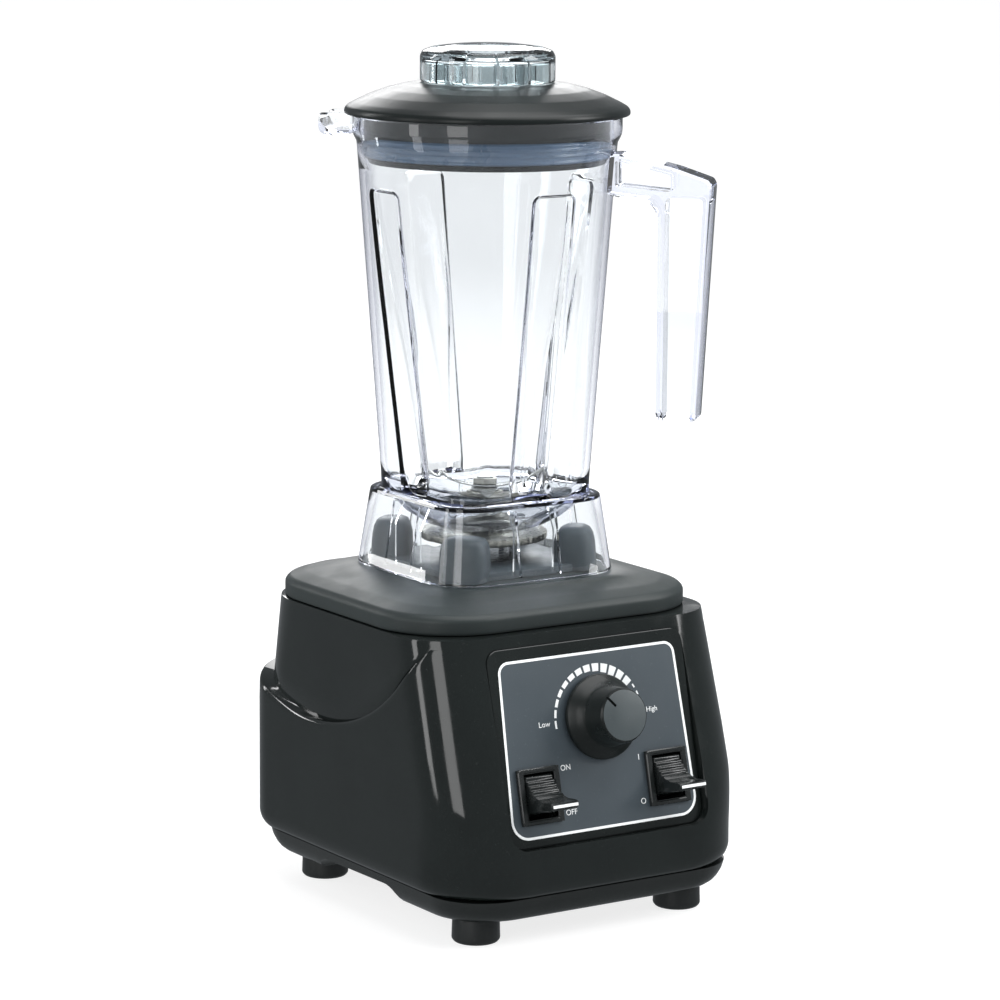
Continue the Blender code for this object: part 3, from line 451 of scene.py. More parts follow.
def step_height(y):
    """Height of the swept step along the side."""
    return min(STEP_LOWEST_Z + STEP_BOW * (y - STEP_LOWEST_Y) ** 2, STEP_LIMIT)


def housing_column(height_of, share_of_upper, inset=0.0):
    """One loop whose height follows the swept step, between the lower shell and the set-back upper shell."""
    loop = []
    for i, (x, y) in enumerate(lower_shell(STEP_LOWEST_Z)):
        z = height_of(step_height(y))
        rounded = inset * ease((y - STEP_START_Y) / STEP_FADE)
        low, high = lower_shell(z, rounded)[i], upper_shell(z, rounded)[i]
        share = ease((y - STEP_START_Y) / 0.12) * share_of_upper
        loop.append((mix(low[0], high[0], share), mix(low[1], high[1], share), z))
    return loop


def cover_plan(inset):
    """The top cover's outline, drawn in by an inset."""
    radius = max(COVER_RADIUS - inset, 0.02)
    return plan(COVER_HALF - inset, COVER_FRONT + inset, COVER_REAR - inset, radius, radius)


def control_openings(look):
    """Cutters for what passes through the panel: the two switches and the knob's shaft."""
    tools = []
    for side, _, u in SWITCHES:
        flat = [(u + x * WINDOW_HALF, SWITCH_V + y * WINDOW_REACH) for x,
                y in ((-1, -1), (1, -1), (1, 1), (-1, 1))]
        tools.append(prism(f"window_{side}", flat, CUT_BELOW, CUT_ABOVE, look, None, PANEL))
    shaft = [(SHAFT_HOLE * math.cos(a) + KNOB_U, SHAFT_HOLE * math.sin(a) + KNOB_V)
             for a in steps_between(0, 5.9, 20)]
    return tools + [prism("shaft_hole", shaft, CUT_BELOW, CUT_ABOVE, look, None, PANEL)]


def make_housing():
    """The gloss shell, with its swept step and the recess that holds the panel."""
    loops = [at(z, lower_shell(z)) for z in steps_between(HOUSING_BOTTOM, EDGE_Z, 8)]
    loops += [at(z, lower_shell(z)) for z in (0.0480, 0.0540, 0.0575, CHIN_Z, 0.0625)]
    for share in steps_between(0.06, 0.97, 26):
        loops.append(housing_column(lambda step: mix(0.0640, step - 0.0030, share), 0.0))
    for drop, inset in ((0.0030, 0.0), (0.0016, 0.0002), (0.0007, 0.0007), (0.0001, 0.0015)):
        loops.append(housing_column(lambda step: step - drop, 0.0, inset))
    for rise, share, inset in ((0.0000, 0.80, 0.0006), (0.0003, 1.0, 0.0004), (0.0012, 1.0, 0.0)):
        loops.append(housing_column(lambda step: step + rise, share, inset))
    for share in (0.2, 0.4, 0.6, 0.8, 0.95):
        loops.append(housing_column(lambda step: mix(step + 0.0012, HOUSING_TOP - 0.0008, share), 1.0))
    loops.append(housing_column(lambda step: HOUSING_TOP - 0.0002, 1.0, 0.0002))
    loops.append(housing_column(lambda step: HOUSING_TOP, 1.0, 0.0010))
    rim, low_rim = cover_plan(0.0045), STEP_LIMIT
    loops += [at(HOUSING_TOP, rim), at(low_rim, rim)]
    slope = math.tan(TILT)
    for z in (low_rim, CHIN_Z, HOUSING_BOTTOM):
        front = -0.1062 + max(z - 0.0636, 0.0) * slope
        loops.append(at(z, plan(0.0975, front, 0.1140, 0.034, 0.036)))
    housing = loft("housing_shell", loops, "gloss", None, ring=True)
    recess = []
    for n, grow in ((-0.0023, 0.0004), (0.0002, 0.0005), (0.0022, 0.0008), (0.0050, 0.0012),
                    (0.0300, 0.0016)):
        flat = panel_rectangle(PLATE_HALF + grow, PLATE_LOW - grow, PLATE_HIGH + grow, 0.0100 + grow, 0.0080
                               + grow)
        recess.append(at(n, flat))
    tools = [loft("recess", recess, "gloss", None, matrix=PANEL)] + control_openings("gloss")
    inlet_low, inlet_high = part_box("cord_inlet")
    middle = (inlet_low + inlet_high) / 2
    hole = Matrix.Translation((middle.x, REAR_Y, middle.z)) @ Matrix.Rotation(math.pi / 2, 4, "X")
    tools.append(turned("inlet_hole", [(0.0083, -0.03), (0.0083, 0.03)], "gloss", None, segments=48,
                        center=(0, 0), matrix=hole))
    combine(housing, tools)
    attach(housing, "base")
    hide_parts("housing")


def make_cover():
    """The matte cover: a rim band, a dome, and the level platform round the drive socket."""
    edge = soften([(0.0036, 0.1780), (0.0004, 0.1780), (0.0, 0.1792), (0.0, 0.1866), (0.0026, 0.1893),
                   (0.0130, 0.1926), (0.0260, 0.1955)], 0.0016)
    loops = [at(z, cover_plan(inset)) for inset, z in edge]
    outer = cover_plan(0.0260)

    def toward_platform(flat, half, corner, z):
        made = []
        for x, y in flat:
            a = math.atan2(y - AXIS_Y, x)
            r = rounded_square(a, half, corner)
            made.append((r * math.cos(a), AXIS_Y + r * math.sin(a), z))
        return made

    square = toward_platform(outer, 0.0660, 0.0330, PLATFORM_Z)
    for share in (0.2, 0.4, 0.6, 0.8, 0.95):
        rise = mix(0.1955, PLATFORM_Z, math.sin(share * math.pi / 2))
        loops.append([(mix(p[0], q[0], share), mix(p[1], q[1], share), rise) for p, q in zip(outer, square)])
    loops.append(toward_platform(outer, 0.0655, 0.0330, PLATFORM_Z))
    loops.append(toward_platform(outer, 0.0250, 0.0250, PLATFORM_Z))
    loops.append(toward_platform(outer, 0.0245, 0.0245, PLATFORM_Z - 0.0005))
    loops.append(toward_platform(outer, 0.0245, 0.0245, PLATFORM_Z - 0.0032))
    loops.append(toward_platform(outer, 0.0640, 0.0330, PLATFORM_Z - 0.0032))
    loops += [at(z - 0.0032, cover_plan(inset)) for inset, z in ((0.0270, 0.1955), (0.0140, 0.1926))]
    loops += [at(0.1850, cover_plan(0.0042))]
    cover = loft("cover_shell", loops, "cover", "base", ring=True, angle=50)
    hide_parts("top_cover")


def make_pad():
    """The rubber pad and its four round-topped corner posts."""
    low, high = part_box("centering_pad")[0].z, 0.2030
    turns = [2 * math.pi * i / 96 for i in range(96)]

    def ring(half, corner, z):
        return [(r * math.cos(a), AXIS_Y + r * math.sin(a), z)
                for a in turns for r in [rounded_square(a, half, corner)]]

    profile = [(0.0190, 0.0190, low), (0.0505, 0.0240, low), (0.0505, 0.0240, 0.2012),
               (0.0500, 0.0235, 0.2024), (0.0485, 0.0225, high), (0.0205, 0.0205, high),
               (0.0192, 0.0192, 0.2020)]
    pad = loft("centering_pad_top", [ring(*p) for p in profile], "pad", "base", ring=True)
    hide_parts("centering_pad")
    for i in range(4):
        turn = math.pi / 4 + math.pi / 2 * i
        loops = []
        for shrink, z in ((0.0, low + 0.0005), (0.0006, 0.2150), (0.0016, 0.2200), (0.0032, 0.2228),
                          (0.0058, 0.2241), (0.0090, 0.2245)):
            loop = []
            for a in steps_between(0, 2 * math.pi, 48)[:-1]:
                c, s = math.cos(a), math.sin(a)
                across = (0.0148 - shrink) * math.copysign(abs(s) ** 0.62, s)
                out = 0.0552 + (0.0122 - shrink) * math.copysign(abs(c) ** 0.62, c)
                loop.append((out * math.cos(turn) - across * math.sin(turn),
                             AXIS_Y + out * math.sin(turn) + across * math.cos(turn), z))
            loops.append(loop)
        post = loft(f"pad_post_{i}", loops, "pad", "base", angle=60)


def foot_places():
    """Each foot's name and centre."""
    for row in ("front", "rear"):
        for side in ("left", "right"):
            low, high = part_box(f"foot_{row}_{side}")
            yield f"{row}_{side}", (low + high) / 2


def make_pan():
    """The base pan with its side-to-side channel, air slots and rounded lower edge."""
    levels = [(0.0115, 0.0155), (0.0085, 0.0157), (0.0062, 0.0166), (0.0042, 0.0184), (0.0026, 0.0210),
              (0.0010, 0.0250), (0.0, 0.0297)]
    edge = 0.0055
    loops = [at(z, plan(HALF_WIDTH - edge - i, FRONT_Y + edge + i, REAR_Y - edge - i, 0.034, 0.028))
             for i, z in levels]
    pan = loft("pan_shell", loops, "pan", None)
    arch = soften([(-0.0430, 0.0), (-0.0410, 0.0160), (-0.0320, 0.0248), (0.0450, 0.0238), (0.0540, 0.0160),
                   (0.0560, 0.0)], 0.0060)
    across = [[(x, y, z) for y, z in arch] for x in (-0.15, 0.15)]
    tools = [loft("channel", across, "pan", None)]
    for i in range(5):
        y = AXIS_Y + (i - 2) * 0.0090
        slot = soften([(-0.0300, y - 0.0018), (0.0300, y - 0.0018), (0.0300, y + 0.0018),
                       (-0.0300, y + 0.0018)], 0.0016, True)
        tools.append(prism(f"vent_{i}", slot, 0.010, 0.040, "pan", None))
    for place, middle in foot_places():
        tools.append(turned(f"hole_{place}", [(0.0023, 0.005), (0.0023, 0.040)], "pan", None, segments=24,
                            center=(middle.x, middle.y)))
    combine(pan, tools)
    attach(pan, "base")
    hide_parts("base_pan")


def make_feet():
    """Four rubber cups, hollow round their screws."""
    profile = soften([(0.0048, 0.0), (0.0127, 0.0), (0.0142, 0.0018), (0.0138, 0.0150), (0.0023, 0.0150),
                      (0.0023, 0.0080), (0.0048, 0.0080)], 0.0008, True)
    for place, middle in foot_places():
        foot = turned(f"foot_cup_{place}", profile, "foot", "base", True, 64, (middle.x, middle.y))
        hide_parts(f"foot_{place}")


def line_band(name, outer, inner, low, high, look, body):
    """A thin printed band between two outlines of the panel's frame."""
    loops = [at(low, outer), at(high, outer), at(high, inner), at(low, inner)]
    return loft(name, loops, look, body, ring=True, matrix=PANEL)


def make_panel():
    """The black plate, its slate field with a white border, and the printed scale."""
    plate = panel_rectangle(PLATE_HALF, PLATE_LOW, PLATE_HIGH, 0.0096, 0.0080)
    inner = panel_rectangle(0.0682, -0.0042, 0.1100, 0.0092, 0.0076)
    field = panel_rectangle(0.0645, 0.0007, 0.1025, 0.0108, 0.0065, BORDER_LEAN)
    panel = loft("panel_plate", [at(-0.0020, plate), at(-0.0003, plate), at(0.0, inner)], "frame", None,
                 matrix=PANEL)
    face = loft("panel_field", [at(-0.0004, field), at(0.00008, field)], "panel", None, matrix=PANEL)
    for target in (panel, face):
        combine(target, control_openings("panel"))
        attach(target, "base")
    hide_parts("control_panel")
    outside = panel_rectangle(0.0652, 0.0, 0.1032, 0.0115, 0.0072, BORDER_LEAN)
    inside = panel_rectangle(0.0637, 0.0015, 0.1017, 0.0100, 0.0057, BORDER_LEAN)
    line_band("panel_border", outside, inside, -0.0002, 0.0002, "border", "base")
    make_scale()


def make_scale():
    """The printed scale round the knob: blocks that grow clockwise, then short dashes."""
    points, faces = [], []

    def block(turn, width, inner, outer):
        start = len(points)
        for a in steps_between(turn - width / 2, turn + width / 2, 4):
            for r, n in ((inner, 0.00002), (outer, 0.00002), (outer, 0.00016), (inner, 0.00016)):
                points.append((KNOB_U + r * math.sin(a), KNOB_V + r * math.cos(a), n))
        for k in range(4):
            for j in range(4):
                a, b = start + 4 * k + j, start + 4 * k + (j + 1) % 4
                faces.append((a, b, b + 4, a + 4))
        faces.extend([tuple(range(start, start + 4)), tuple(range(start + 19, start + 15, -1))])

    for i in range(13):
        turn = math.radians(-92 + 11.8 * i)
        block(turn, math.radians(8.8), mix(0.0300, 0.0244, (i / 12) ** 1.3), 0.0313)
    for i in range(5):
        block(math.radians(60 + 9.0 * i), math.radians(4.4), 0.0300, 0.0310)
    piece("dial_scale", points, faces, "print", "base", matrix=PANEL)


def label(name, words, u, v, height):
    """A generic word or mark printed on the panel."""
    text = bpy.data.curves.new(name, "FONT")
    text.body, text.size, text.extrude = words, height, 0.00006
    text.align_x, text.align_y = "CENTER", "CENTER"
    flat = bpy.data.objects.new(name, text)
    bpy.context.scene.collection.objects.link(flat)
    bpy.context.view_layer.update()
    mesh = bpy.data.meshes.new_from_object(flat.evaluated_get(bpy.context.evaluated_depsgraph_get()))
    bpy.data.objects.remove(flat)
    mesh.transform(PANEL @ Matrix.Translation((u, v, 0.0001)))
    mesh.materials.clear()
    mesh.materials.append(LOOKS["print"])
    obj = bpy.data.objects.new(name, mesh)
    bpy.context.scene.collection.objects.link(obj)
    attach(obj, "base")


def make_labels():
    label("label_low", "Low", -0.0348, 0.0645, 0.0046)
    label("label_high", "High", 0.0412, 0.0648, 0.0043)
    label("label_on", "ON", -0.0238, 0.0382, 0.0046)
    label("label_off", "OFF", -0.0232, 0.0122, 0.0046)
    label("label_one", "I", 0.0279, 0.0379, 0.0048)
    label("label_zero", "O", 0.0277, 0.0120, 0.0048)


def make_knob():
    """A tall knob on a wide skirt, with a pointer groove across its rim."""
    dial = PANEL @ Matrix.Translation((KNOB_U, KNOB_V, 0))
    profile = soften([(0.0033, 0.0190), (0.0033, 0.0010), (0.0240, 0.0010), (0.0250, 0.0018),
                      (0.0250, 0.0042), (0.0205, 0.0078), (0.0176, 0.0110), (0.0160, 0.0250),
                      (0.0152, 0.0265)], 0.0012)
    knob = turned("knob_body", profile, "knob", None, center=(0, 0), matrix=dial)
    turn = dial @ Matrix.Rotation(math.radians(43), 4, "Z")
    groove = [(-0.0008, 0.0080), (0.0008, 0.0080), (0.0008, 0.0180), (-0.0008, 0.0180)]
    combine(knob, [prism("groove", groove, 0.0254, 0.0285, "knob", None, turn)])
    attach(knob, "speed_dial")
    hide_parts("speed_knob")
    face = turned("knob_face", [(0.0147, 0.0264), (0.0147, 0.02668), (0.0142, 0.0268)], "knob_face", None,
                  center=(0, 0), matrix=dial)
    combine(face, [prism("face_groove", groove, 0.0250, 0.0285, "knob", None, turn)])
    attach(face, "speed_dial")


def make_switches():
    """Each switch: a rounded bezel, and a ribbed lever with a long finger paddle."""
    lever = [(-0.0118, -0.0030), (-0.0092, 0.0036), (-0.0086, 0.0262), (-0.0074, 0.0288), (-0.0050, 0.0288),
             (-0.0042, 0.0262), (-0.0034, 0.0190), (-0.0018, 0.0148), (0.0004, 0.0128), (0.0012, 0.0104),
             (0.0030, 0.0106), (0.0038, 0.0082), (0.0056, 0.0086), (0.0064, 0.0064), (0.0082, 0.0068),
             (0.0090, 0.0048), (0.0112, 0.0050), (0.0120, 0.0030), (0.0110, -0.0040), (0.0060, -0.0080),
             (-0.0060, -0.0080)]
    side_view = soften(lever, 0.0007, True, 3)
    for side, use, u in SWITCHES:
        bezel = []
        for width, height, n, r in ((0.0143, 0.0163, 0.0002, 0.0022), (0.0143, 0.0163, 0.0022, 0.0022),
                                    (0.0137, 0.0157, 0.0028, 0.0018), (0.0112, 0.0143, 0.0028, 0.0012),
                                    (0.0103, 0.0134, 0.0020, 0.0008), (0.0103, 0.0134, 0.0002, 0.0008)):
            flat = panel_rectangle(width, SWITCH_V - height, SWITCH_V + height, r, r, 0.0, 5)
            bezel.append([(u + x, y, n) for x, y in flat])
        trim = loft(f"switch_bezel_{side}", bezel, "switch", "base", ring=True, matrix=PANEL)
        loops = []
        for x, shrink in ((-LEVER_HALF, 0.90), (-LEVER_HALF + 0.0003, 0.97), (-LEVER_HALF + 0.0009, 1.0),
                          (LEVER_HALF - 0.0009, 1.0), (LEVER_HALF - 0.0003, 0.97), (LEVER_HALF, 0.90)):
            inset = (1 - shrink) * 0.006
            loops.append([(x, v - math.copysign(inset, v), n - math.copysign(inset, n)) for v,
                          n in side_view])
        where = PANEL @ Matrix.Translation((u, SWITCH_V, LEVER_N))
        paddle = loft(f"{use}_paddle", loops, "switch", f"{use}_switch", matrix=where, angle=40)
        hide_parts(f"{use}_lever")
        tip = soften([(-0.0070, 0.02860), (-0.0054, 0.02860), (-0.0054, 0.02895), (-0.0070, 0.02895)],
                     0.0001, True, 2)
        stripe = [[(x, v, n) for v, n in tip] for x in (-LEVER_HALF + 0.0008, LEVER_HALF - 0.0008)]
        loft(f"{use}_stripe", stripe, "border", f"{use}_switch", matrix=where)


# ---------------------------------------------------------------- the jar

def jar_ring(half, corner, z):
    """One level of a plain rounded square, with its stations at the same places as the fluted wall's."""
    loop = []
    for x, y, _ in jar_body_ring(LEDGE_Z, 0.0):
        a = math.atan2(y - AXIS_Y, x)
        r = rounded_square(a, half, corner)
        loop.append((r * math.cos(a), AXIS_Y + r * math.sin(a), z))
    return loop


def jar_rings(*rows):
    """Plain levels from rows of half width, corner radius and height."""
    return [jar_ring(*row) for row in rows]


def face_offsets(reach, facet):
    """Distances from the middle of a face to its stations, so that columns run along the flute's edges."""
    rim = FLUTE_EDGE / 2
    inner = [facet * k for k in (0.0, 0.35, 0.7, 0.93)] + [facet * 1.04]
    slope = [mix(facet * 1.04, reach - rim, k) for k in (0.2, 0.4, 0.6, 0.8, 0.94)]
    edge = [reach + rim * k for k in (-1.0, -0.6, -0.2, 0.2, 0.6, 1.0, 1.4)]
    return inner + slope + edge


def jar_body_ring(z, inset):
    """One level of the wall: square low down, round at the top, with a flute pressed into each face.

    A flute has a crisp rim and a square top with round corners. Inside it a deeper facet narrows
    towards the floor."""
    share = min(max((z - LOW_Z) / (ROUND_Z - LOW_Z), 0.0), 1.0)
    half = mix(LOW_HALF, TOP_HALF, share)
    corner = min(mix(LOW_RADIUS, TOP_HALF, share), half)
    below = FLUTE_TOP - z
    depth = FLUTE_DEEP * ease(below / 0.110)
    facet = FLUTE_HALF * min(mix(0.10, 0.85, ease((z - 0.2600) / 0.130)), 0.70)
    offsets = face_offsets(FLUTE_HALF, facet)
    wide = offsets[-1]

    def wall(angle):
        return rounded_square(angle, half - inset, max(corner - inset, 0.002))

    def angle_at(across):
        a = 0.0
        for _ in range(8):
            a = math.asin(across / wall(a))
        return a

    halves = [angle_at(s) for s in offsets]
    halves += steps_between(angle_at(wide), math.pi / 4, CORNER_STATIONS)[1:]
    face = [-a for a in reversed(halves[1:-1])] + halves
    loop = []
    for quarter in range(4):
        for a in face:
            r = wall(a)
            across = abs(r * math.sin(a))
            past_side, past_top = across - (FLUTE_HALF - FLUTE_CORNER), FLUTE_CORNER - below
            within = min(FLUTE_HALF - across, below)
            if past_side > 0 and past_top > 0:
                within = FLUTE_CORNER - math.hypot(past_side, past_top)
            r -= FLUTE_STEP * ease(within / FLUTE_EDGE + 0.5)
            r -= depth * min(max((FLUTE_HALF - across) / (FLUTE_HALF - facet), 0.0), 1.0)
            turn = a + math.pi / 2 * quarter
            loop.append((r * math.cos(turn), AXIS_Y + r * math.sin(turn), z))
    return loop


def wall_levels(low, high):
    """Heights up the wall, closer together where the flutes end."""
    return (steps_between(low, FLUTE_TOP - 0.0080, 26)
            + steps_between(FLUTE_TOP - 0.0060, FLUTE_TOP - 0.0015, 6)
            + steps_between(FLUTE_TOP - 0.0011, FLUTE_TOP + 0.0011, 6)
            + steps_between(FLUTE_TOP + 0.0030, high, 4))


def make_jar():
    """The jar: fluted wall, ribbed skirt, hollow handle and pouring spout, as one closed mesh."""
    round_rim = ((0.0774, 0.4530), (0.0788, 0.4556), (0.0797, 0.4580), (0.0800, 0.4610), (0.0800, 0.4676),
                 (0.0794, JAR_TOP), (0.0764, JAR_TOP), (0.0758, 0.4678), (0.0752, 0.4600), (0.0745, 0.4500))
    loops = jar_rings((0.0620, 0.0291, SKIRT_BOTTOM), (0.0632, 0.0303, SKIRT_BOTTOM + 0.0002),
                      (0.06355, 0.0306, SKIRT_BOTTOM + 0.0010))
    loops += jar_rings(*((mix(0.0634, 0.0565, s), mix(0.0305, 0.0235, s), mix(0.1990, 0.2415, s))
                         for s in steps_between(0, 1, 4)))
    loops += jar_rings((0.0560, 0.0230, 0.2432), (0.0548, 0.0220, LEDGE_Z), (0.0515, 0.0190, LEDGE_Z),
                       (0.0503, 0.0182, 0.2450))
    loops += [jar_body_ring(z, 0.0) for z in wall_levels(0.2470, 0.4500)]
    loops += jar_rings(*((r, r, z) for r, z in round_rim))
    loops += [jar_body_ring(z, WALL) for z in reversed(wall_levels(0.2540, 0.4380))]
    loops += jar_rings((0.0455, 0.0160, 0.2490), (0.0425, 0.0165, 0.2440), (0.0380, 0.0180, 0.2385),
                       (0.0330, 0.0230, 0.2325), (0.0290, 0.0290, 0.2285), (0.0240, 0.0240, FLOOR_TOP),
                       (FLOOR_HOLE, FLOOR_HOLE, FLOOR_TOP), (FLOOR_HOLE, FLOOR_HOLE, FLOOR_UNDER),
                       (0.0265, 0.0265, FLOOR_UNDER), (0.0330, 0.0260, 0.2245), (0.0390, 0.0200, 0.2300),
                       (0.0440, 0.0170, 0.2365), (0.0480, 0.0175, 0.2398), (0.0530, 0.0202, 0.2405),
                       (0.0605, 0.0276, 0.1982), (0.0612, 0.0283, SKIRT_BOTTOM))
    jar = loft("jar_wall", loops, "jar", None, ring=True, angle=28)
    origin = Matrix.Translation((0, AXIS_Y, 0))

    def side_piece(name, outline, half, turn, edge=0.0):
        """An outline of (distance out, height) given a thickness across, and turned about the axis."""
        loops = []
        center = sum((Vector(p) for p in outline), Vector((0, 0))) / len(outline)
        for x, shrink in ((-half, edge), (-half + edge, 0.0), (half - edge, 0.0), (half, edge)):
            loops.append([(x, *(Vector(p) + (center - Vector(p)).normalized() * shrink)) for p in outline])
        if not edge:
            loops = [loops[0], loops[-1]]
        return loft(name, loops, "jar", None, matrix=origin @ Matrix.Rotation(turn, 4, "Z"))

    handle = soften([(0.0735, 0.4470), (0.0800, 0.4480), (0.1150, 0.4400), (0.1345, 0.4335), (0.1362, 0.4300),
                     (0.1290, 0.2925), (0.1275, 0.2910), (0.1065, 0.2910), (0.1050, 0.2930), (0.1048, 0.4140),
                     (0.1000, 0.4212), (0.0730, 0.4250)], 0.0030, True, 4)
    channel = soften([(0.1085, 0.2800), (0.1085, 0.4225), (0.1310, 0.4225), (0.1245, 0.2800)],
                     0.0030, True, 4)
    slot = soften([(0.0790, 0.4290), (0.0790, 0.4440), (0.1120, 0.4362), (0.1120, 0.4262)], 0.0015, True, 3)
    grip = side_piece("handle", handle, 0.0120, HANDLE_TURN, 0.0016)
    combine(grip, [side_piece("channel", channel, 0.0090, HANDLE_TURN)])
    side_cuts = []
    for side in (-1, 1):
        cut = side_piece(f"slot_{side}", slot, 0.0050, HANDLE_TURN)
        shift = Matrix.Rotation(HANDLE_TURN, 4, "Z") @ Vector((side * 0.0085, 0, 0))
        cut.data.transform(Matrix.Translation(shift))
        side_cuts.append(cut)
    combine(grip, side_cuts)
    lip = soften([(0.0785, 0.4560), (0.0940, 0.4545), (0.0985, 0.4565), (0.0995, 0.4600), (0.0990, 0.4680),
                  (0.0785, 0.4680)], 0.0020, True, 3)
    trough = soften([(0.0700, 0.4585), (0.0930, 0.4580), (0.0965, 0.4600), (0.1100, 0.4800),
                     (0.0700, 0.4800)], 0.0020, True, 3)
    combine(jar, [grip, side_piece("spout", lip, 0.0150, SPOUT_TURN, 0.0014)], "UNION")
    combine(jar, [side_piece("trough", trough, 0.0122, SPOUT_TURN)])
    ribs = []
    rib_view = [(0.0525, 0.2005), (0.0613, 0.2005), (0.0545, 0.2390), (0.0460, 0.2390), (0.0525, 0.2260)]
    for i in range(4):
        for shift in (-0.0140, 0.0140):
            rib = side_piece(f"rib_{i}_{shift}", rib_view, 0.0010, math.pi / 2 * i)
            move = Matrix.Rotation(math.pi / 2 * i, 4, "Z") @ Vector((shift, 0, 0))
            rib.data.transform(Matrix.Translation(move))
            ribs.append(rib)
    combine(jar, ribs, "UNION")
    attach(jar, "jar")
    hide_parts("jar")


def make_blades():
    """Two double-ended blades with sharpened, swept tips, and the nut that clamps them."""
    for name, z, turn, path in (
            ("upper", 0.2434, BLADE_TURN, [(0.0, 0.0), (0.008, 0.0), (0.014, 0.0014), (0.024, 0.0055),
                                           (0.031, 0.0096), (0.0370, 0.0138)]),
            ("lower", 0.2413, BLADE_TURN + math.pi / 2, [(0.0, 0.0), (0.010, 0.0), (0.015, -0.0018),
                                                         (0.021, -0.0044), (0.0290, -0.0060)])):
        line = soften(path, 0.004)
        line = [(-x, h) for x, h in reversed(line[1:])] + line
        reach = path[-1][0]
        loops = []
        for x, rise in line:
            share = abs(x) / reach
            half = mix(0.0078, 0.0016, share ** 1.6)
            sweep = 0.0020 * share ** 2 * math.copysign(1, x)
            edge = 0.0003
            loops.append([(x, sweep - half, rise + 0.0003), (x, sweep + half * 0.45, rise),
                          (x, sweep + half, rise + 0.0006), (x, sweep + half, rise + 0.0006 + edge),
                          (x, sweep + half * 0.45, rise + 0.0018), (x, sweep - half, rise + 0.0018)])
        where = Matrix.Translation((0, AXIS_Y, z)) @ Matrix.Rotation(turn, 4, "Z")
        blade = loft(f"blade_wing_{name}", loops, "blade", None, matrix=where)
        hole = turned(f"hole_{name}", [(0.0043, z - 0.01), (0.0043, z + 0.02)], "blade", None, segments=40)
        combine(blade, [hole])
        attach(blade, "blades")
        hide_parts(f"blade_{name}")
    flats = [(0.0075 * math.cos(a), 0.0075 * math.sin(a)) for a in steps_between(0, 2 * math.pi, 6)[:-1]]
    flats = soften(flats, 0.0008, True, 3)
    turns = steps_between(0, 2 * math.pi, len(flats))[:-1]
    hole = [(0.0046 * math.cos(a), 0.0046 * math.sin(a)) for a in turns]
    low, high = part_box("blade_nut")[0].z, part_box("blade_nut")[1].z
    loops = []
    for z, grow in ((low, 0.94), (low + 0.0005, 1.0), (high - 0.0005, 1.0), (high, 0.94)):
        loops.append([(x * grow, AXIS_Y + y * grow, z) for x, y in flats])
    loops += [[(x, AXIS_Y + y, z) for x, y in hole] for z in (high, low)]
    nut = loft("blade_hex", loops, "nut", "blades", ring=True)
    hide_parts("blade_nut")


def make_retainer():
    """The retainer nut under the floor, with a knurled rim, and the turned carrier through it."""
    loops = []
    for r, z, knurl in ((0.0124, 0.2142, 0), (0.0340, 0.2142, 0), (0.0366, 0.2150, 1), (0.0370, 0.2165, 1),
                        (0.0370, 0.2188, 1), (0.0360, 0.2196, 1), (0.0290, 0.2210, 0), (0.0124, 0.2210, 0)):
        loops.append([((r - knurl * 0.0005 * (i % 4 > 1)) * math.cos(a),
                       AXIS_Y + (r - knurl * 0.0005 * (i % 4 > 1)) * math.sin(a), z)
                      for i, a in enumerate(steps_between(0, 2 * math.pi, 192)[:-1])])
    nut = loft("retainer_ring", loops, "nut", "jar", ring=True)
    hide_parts("retainer_nut")
    profile = soften([(0.0093, 0.2142), (0.0120, 0.2142), (0.0120, 0.2263), (0.0180, 0.2263),
                      (0.0172, 0.2290), (0.0122, 0.2310), (0.0112, 0.2365), (0.0093, 0.2365)],
                     0.0005, True, 3)
    carrier = turned("carrier_body", profile, "nut", "jar", True, 96)
    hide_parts("bearing_carrier")


def make_lid():
    """The rubber lid: a rolled rim, a low dome with a raised ring, and a ribbed plug."""
    profile = soften([(0.0845, LID_BOTTOM + 0.0282), (0.0846, 0.4712), (0.0834, 0.4732), (0.0790, 0.4757),
                      (0.0700, 0.4800), (0.0600, 0.4836), (0.0500, 0.4861), (0.0430, 0.4870),
                      (0.0424, 0.4872), (0.0280, 0.4872), (0.0270, 0.4862), (0.0270, 0.4705),
                      (0.0300, 0.4700), (0.0320, 0.4790), (0.0600, 0.4755), (0.0688, 0.4690),
                      (0.0682, LID_BOTTOM), (0.0708, LID_BOTTOM), (0.0716, 0.4430), (0.0722, 0.4434),
                      (0.0724, 0.4590), (0.0731, 0.4600), (0.0731, 0.4640), (0.0735, 0.4688)],
                     0.0010, True, 3)
    lid = turned("lid_cover", profile, "lid", "lid", True, 160, angle=45)
    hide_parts("lid")
    seal = [(0.0716, 0.4440)]
    for i in range(4):
        z = 0.4446 + i * 0.0036
        seal += [(0.0727, z), (0.0733, z + 0.0006), (0.0733, z + 0.0012), (0.0727, z + 0.0018)]
    seal += [(0.0716, 0.4582)]
    ring = turned("lid_seal", soften(seal, 0.0003, True, 2), "seal", "lid", True, 128)


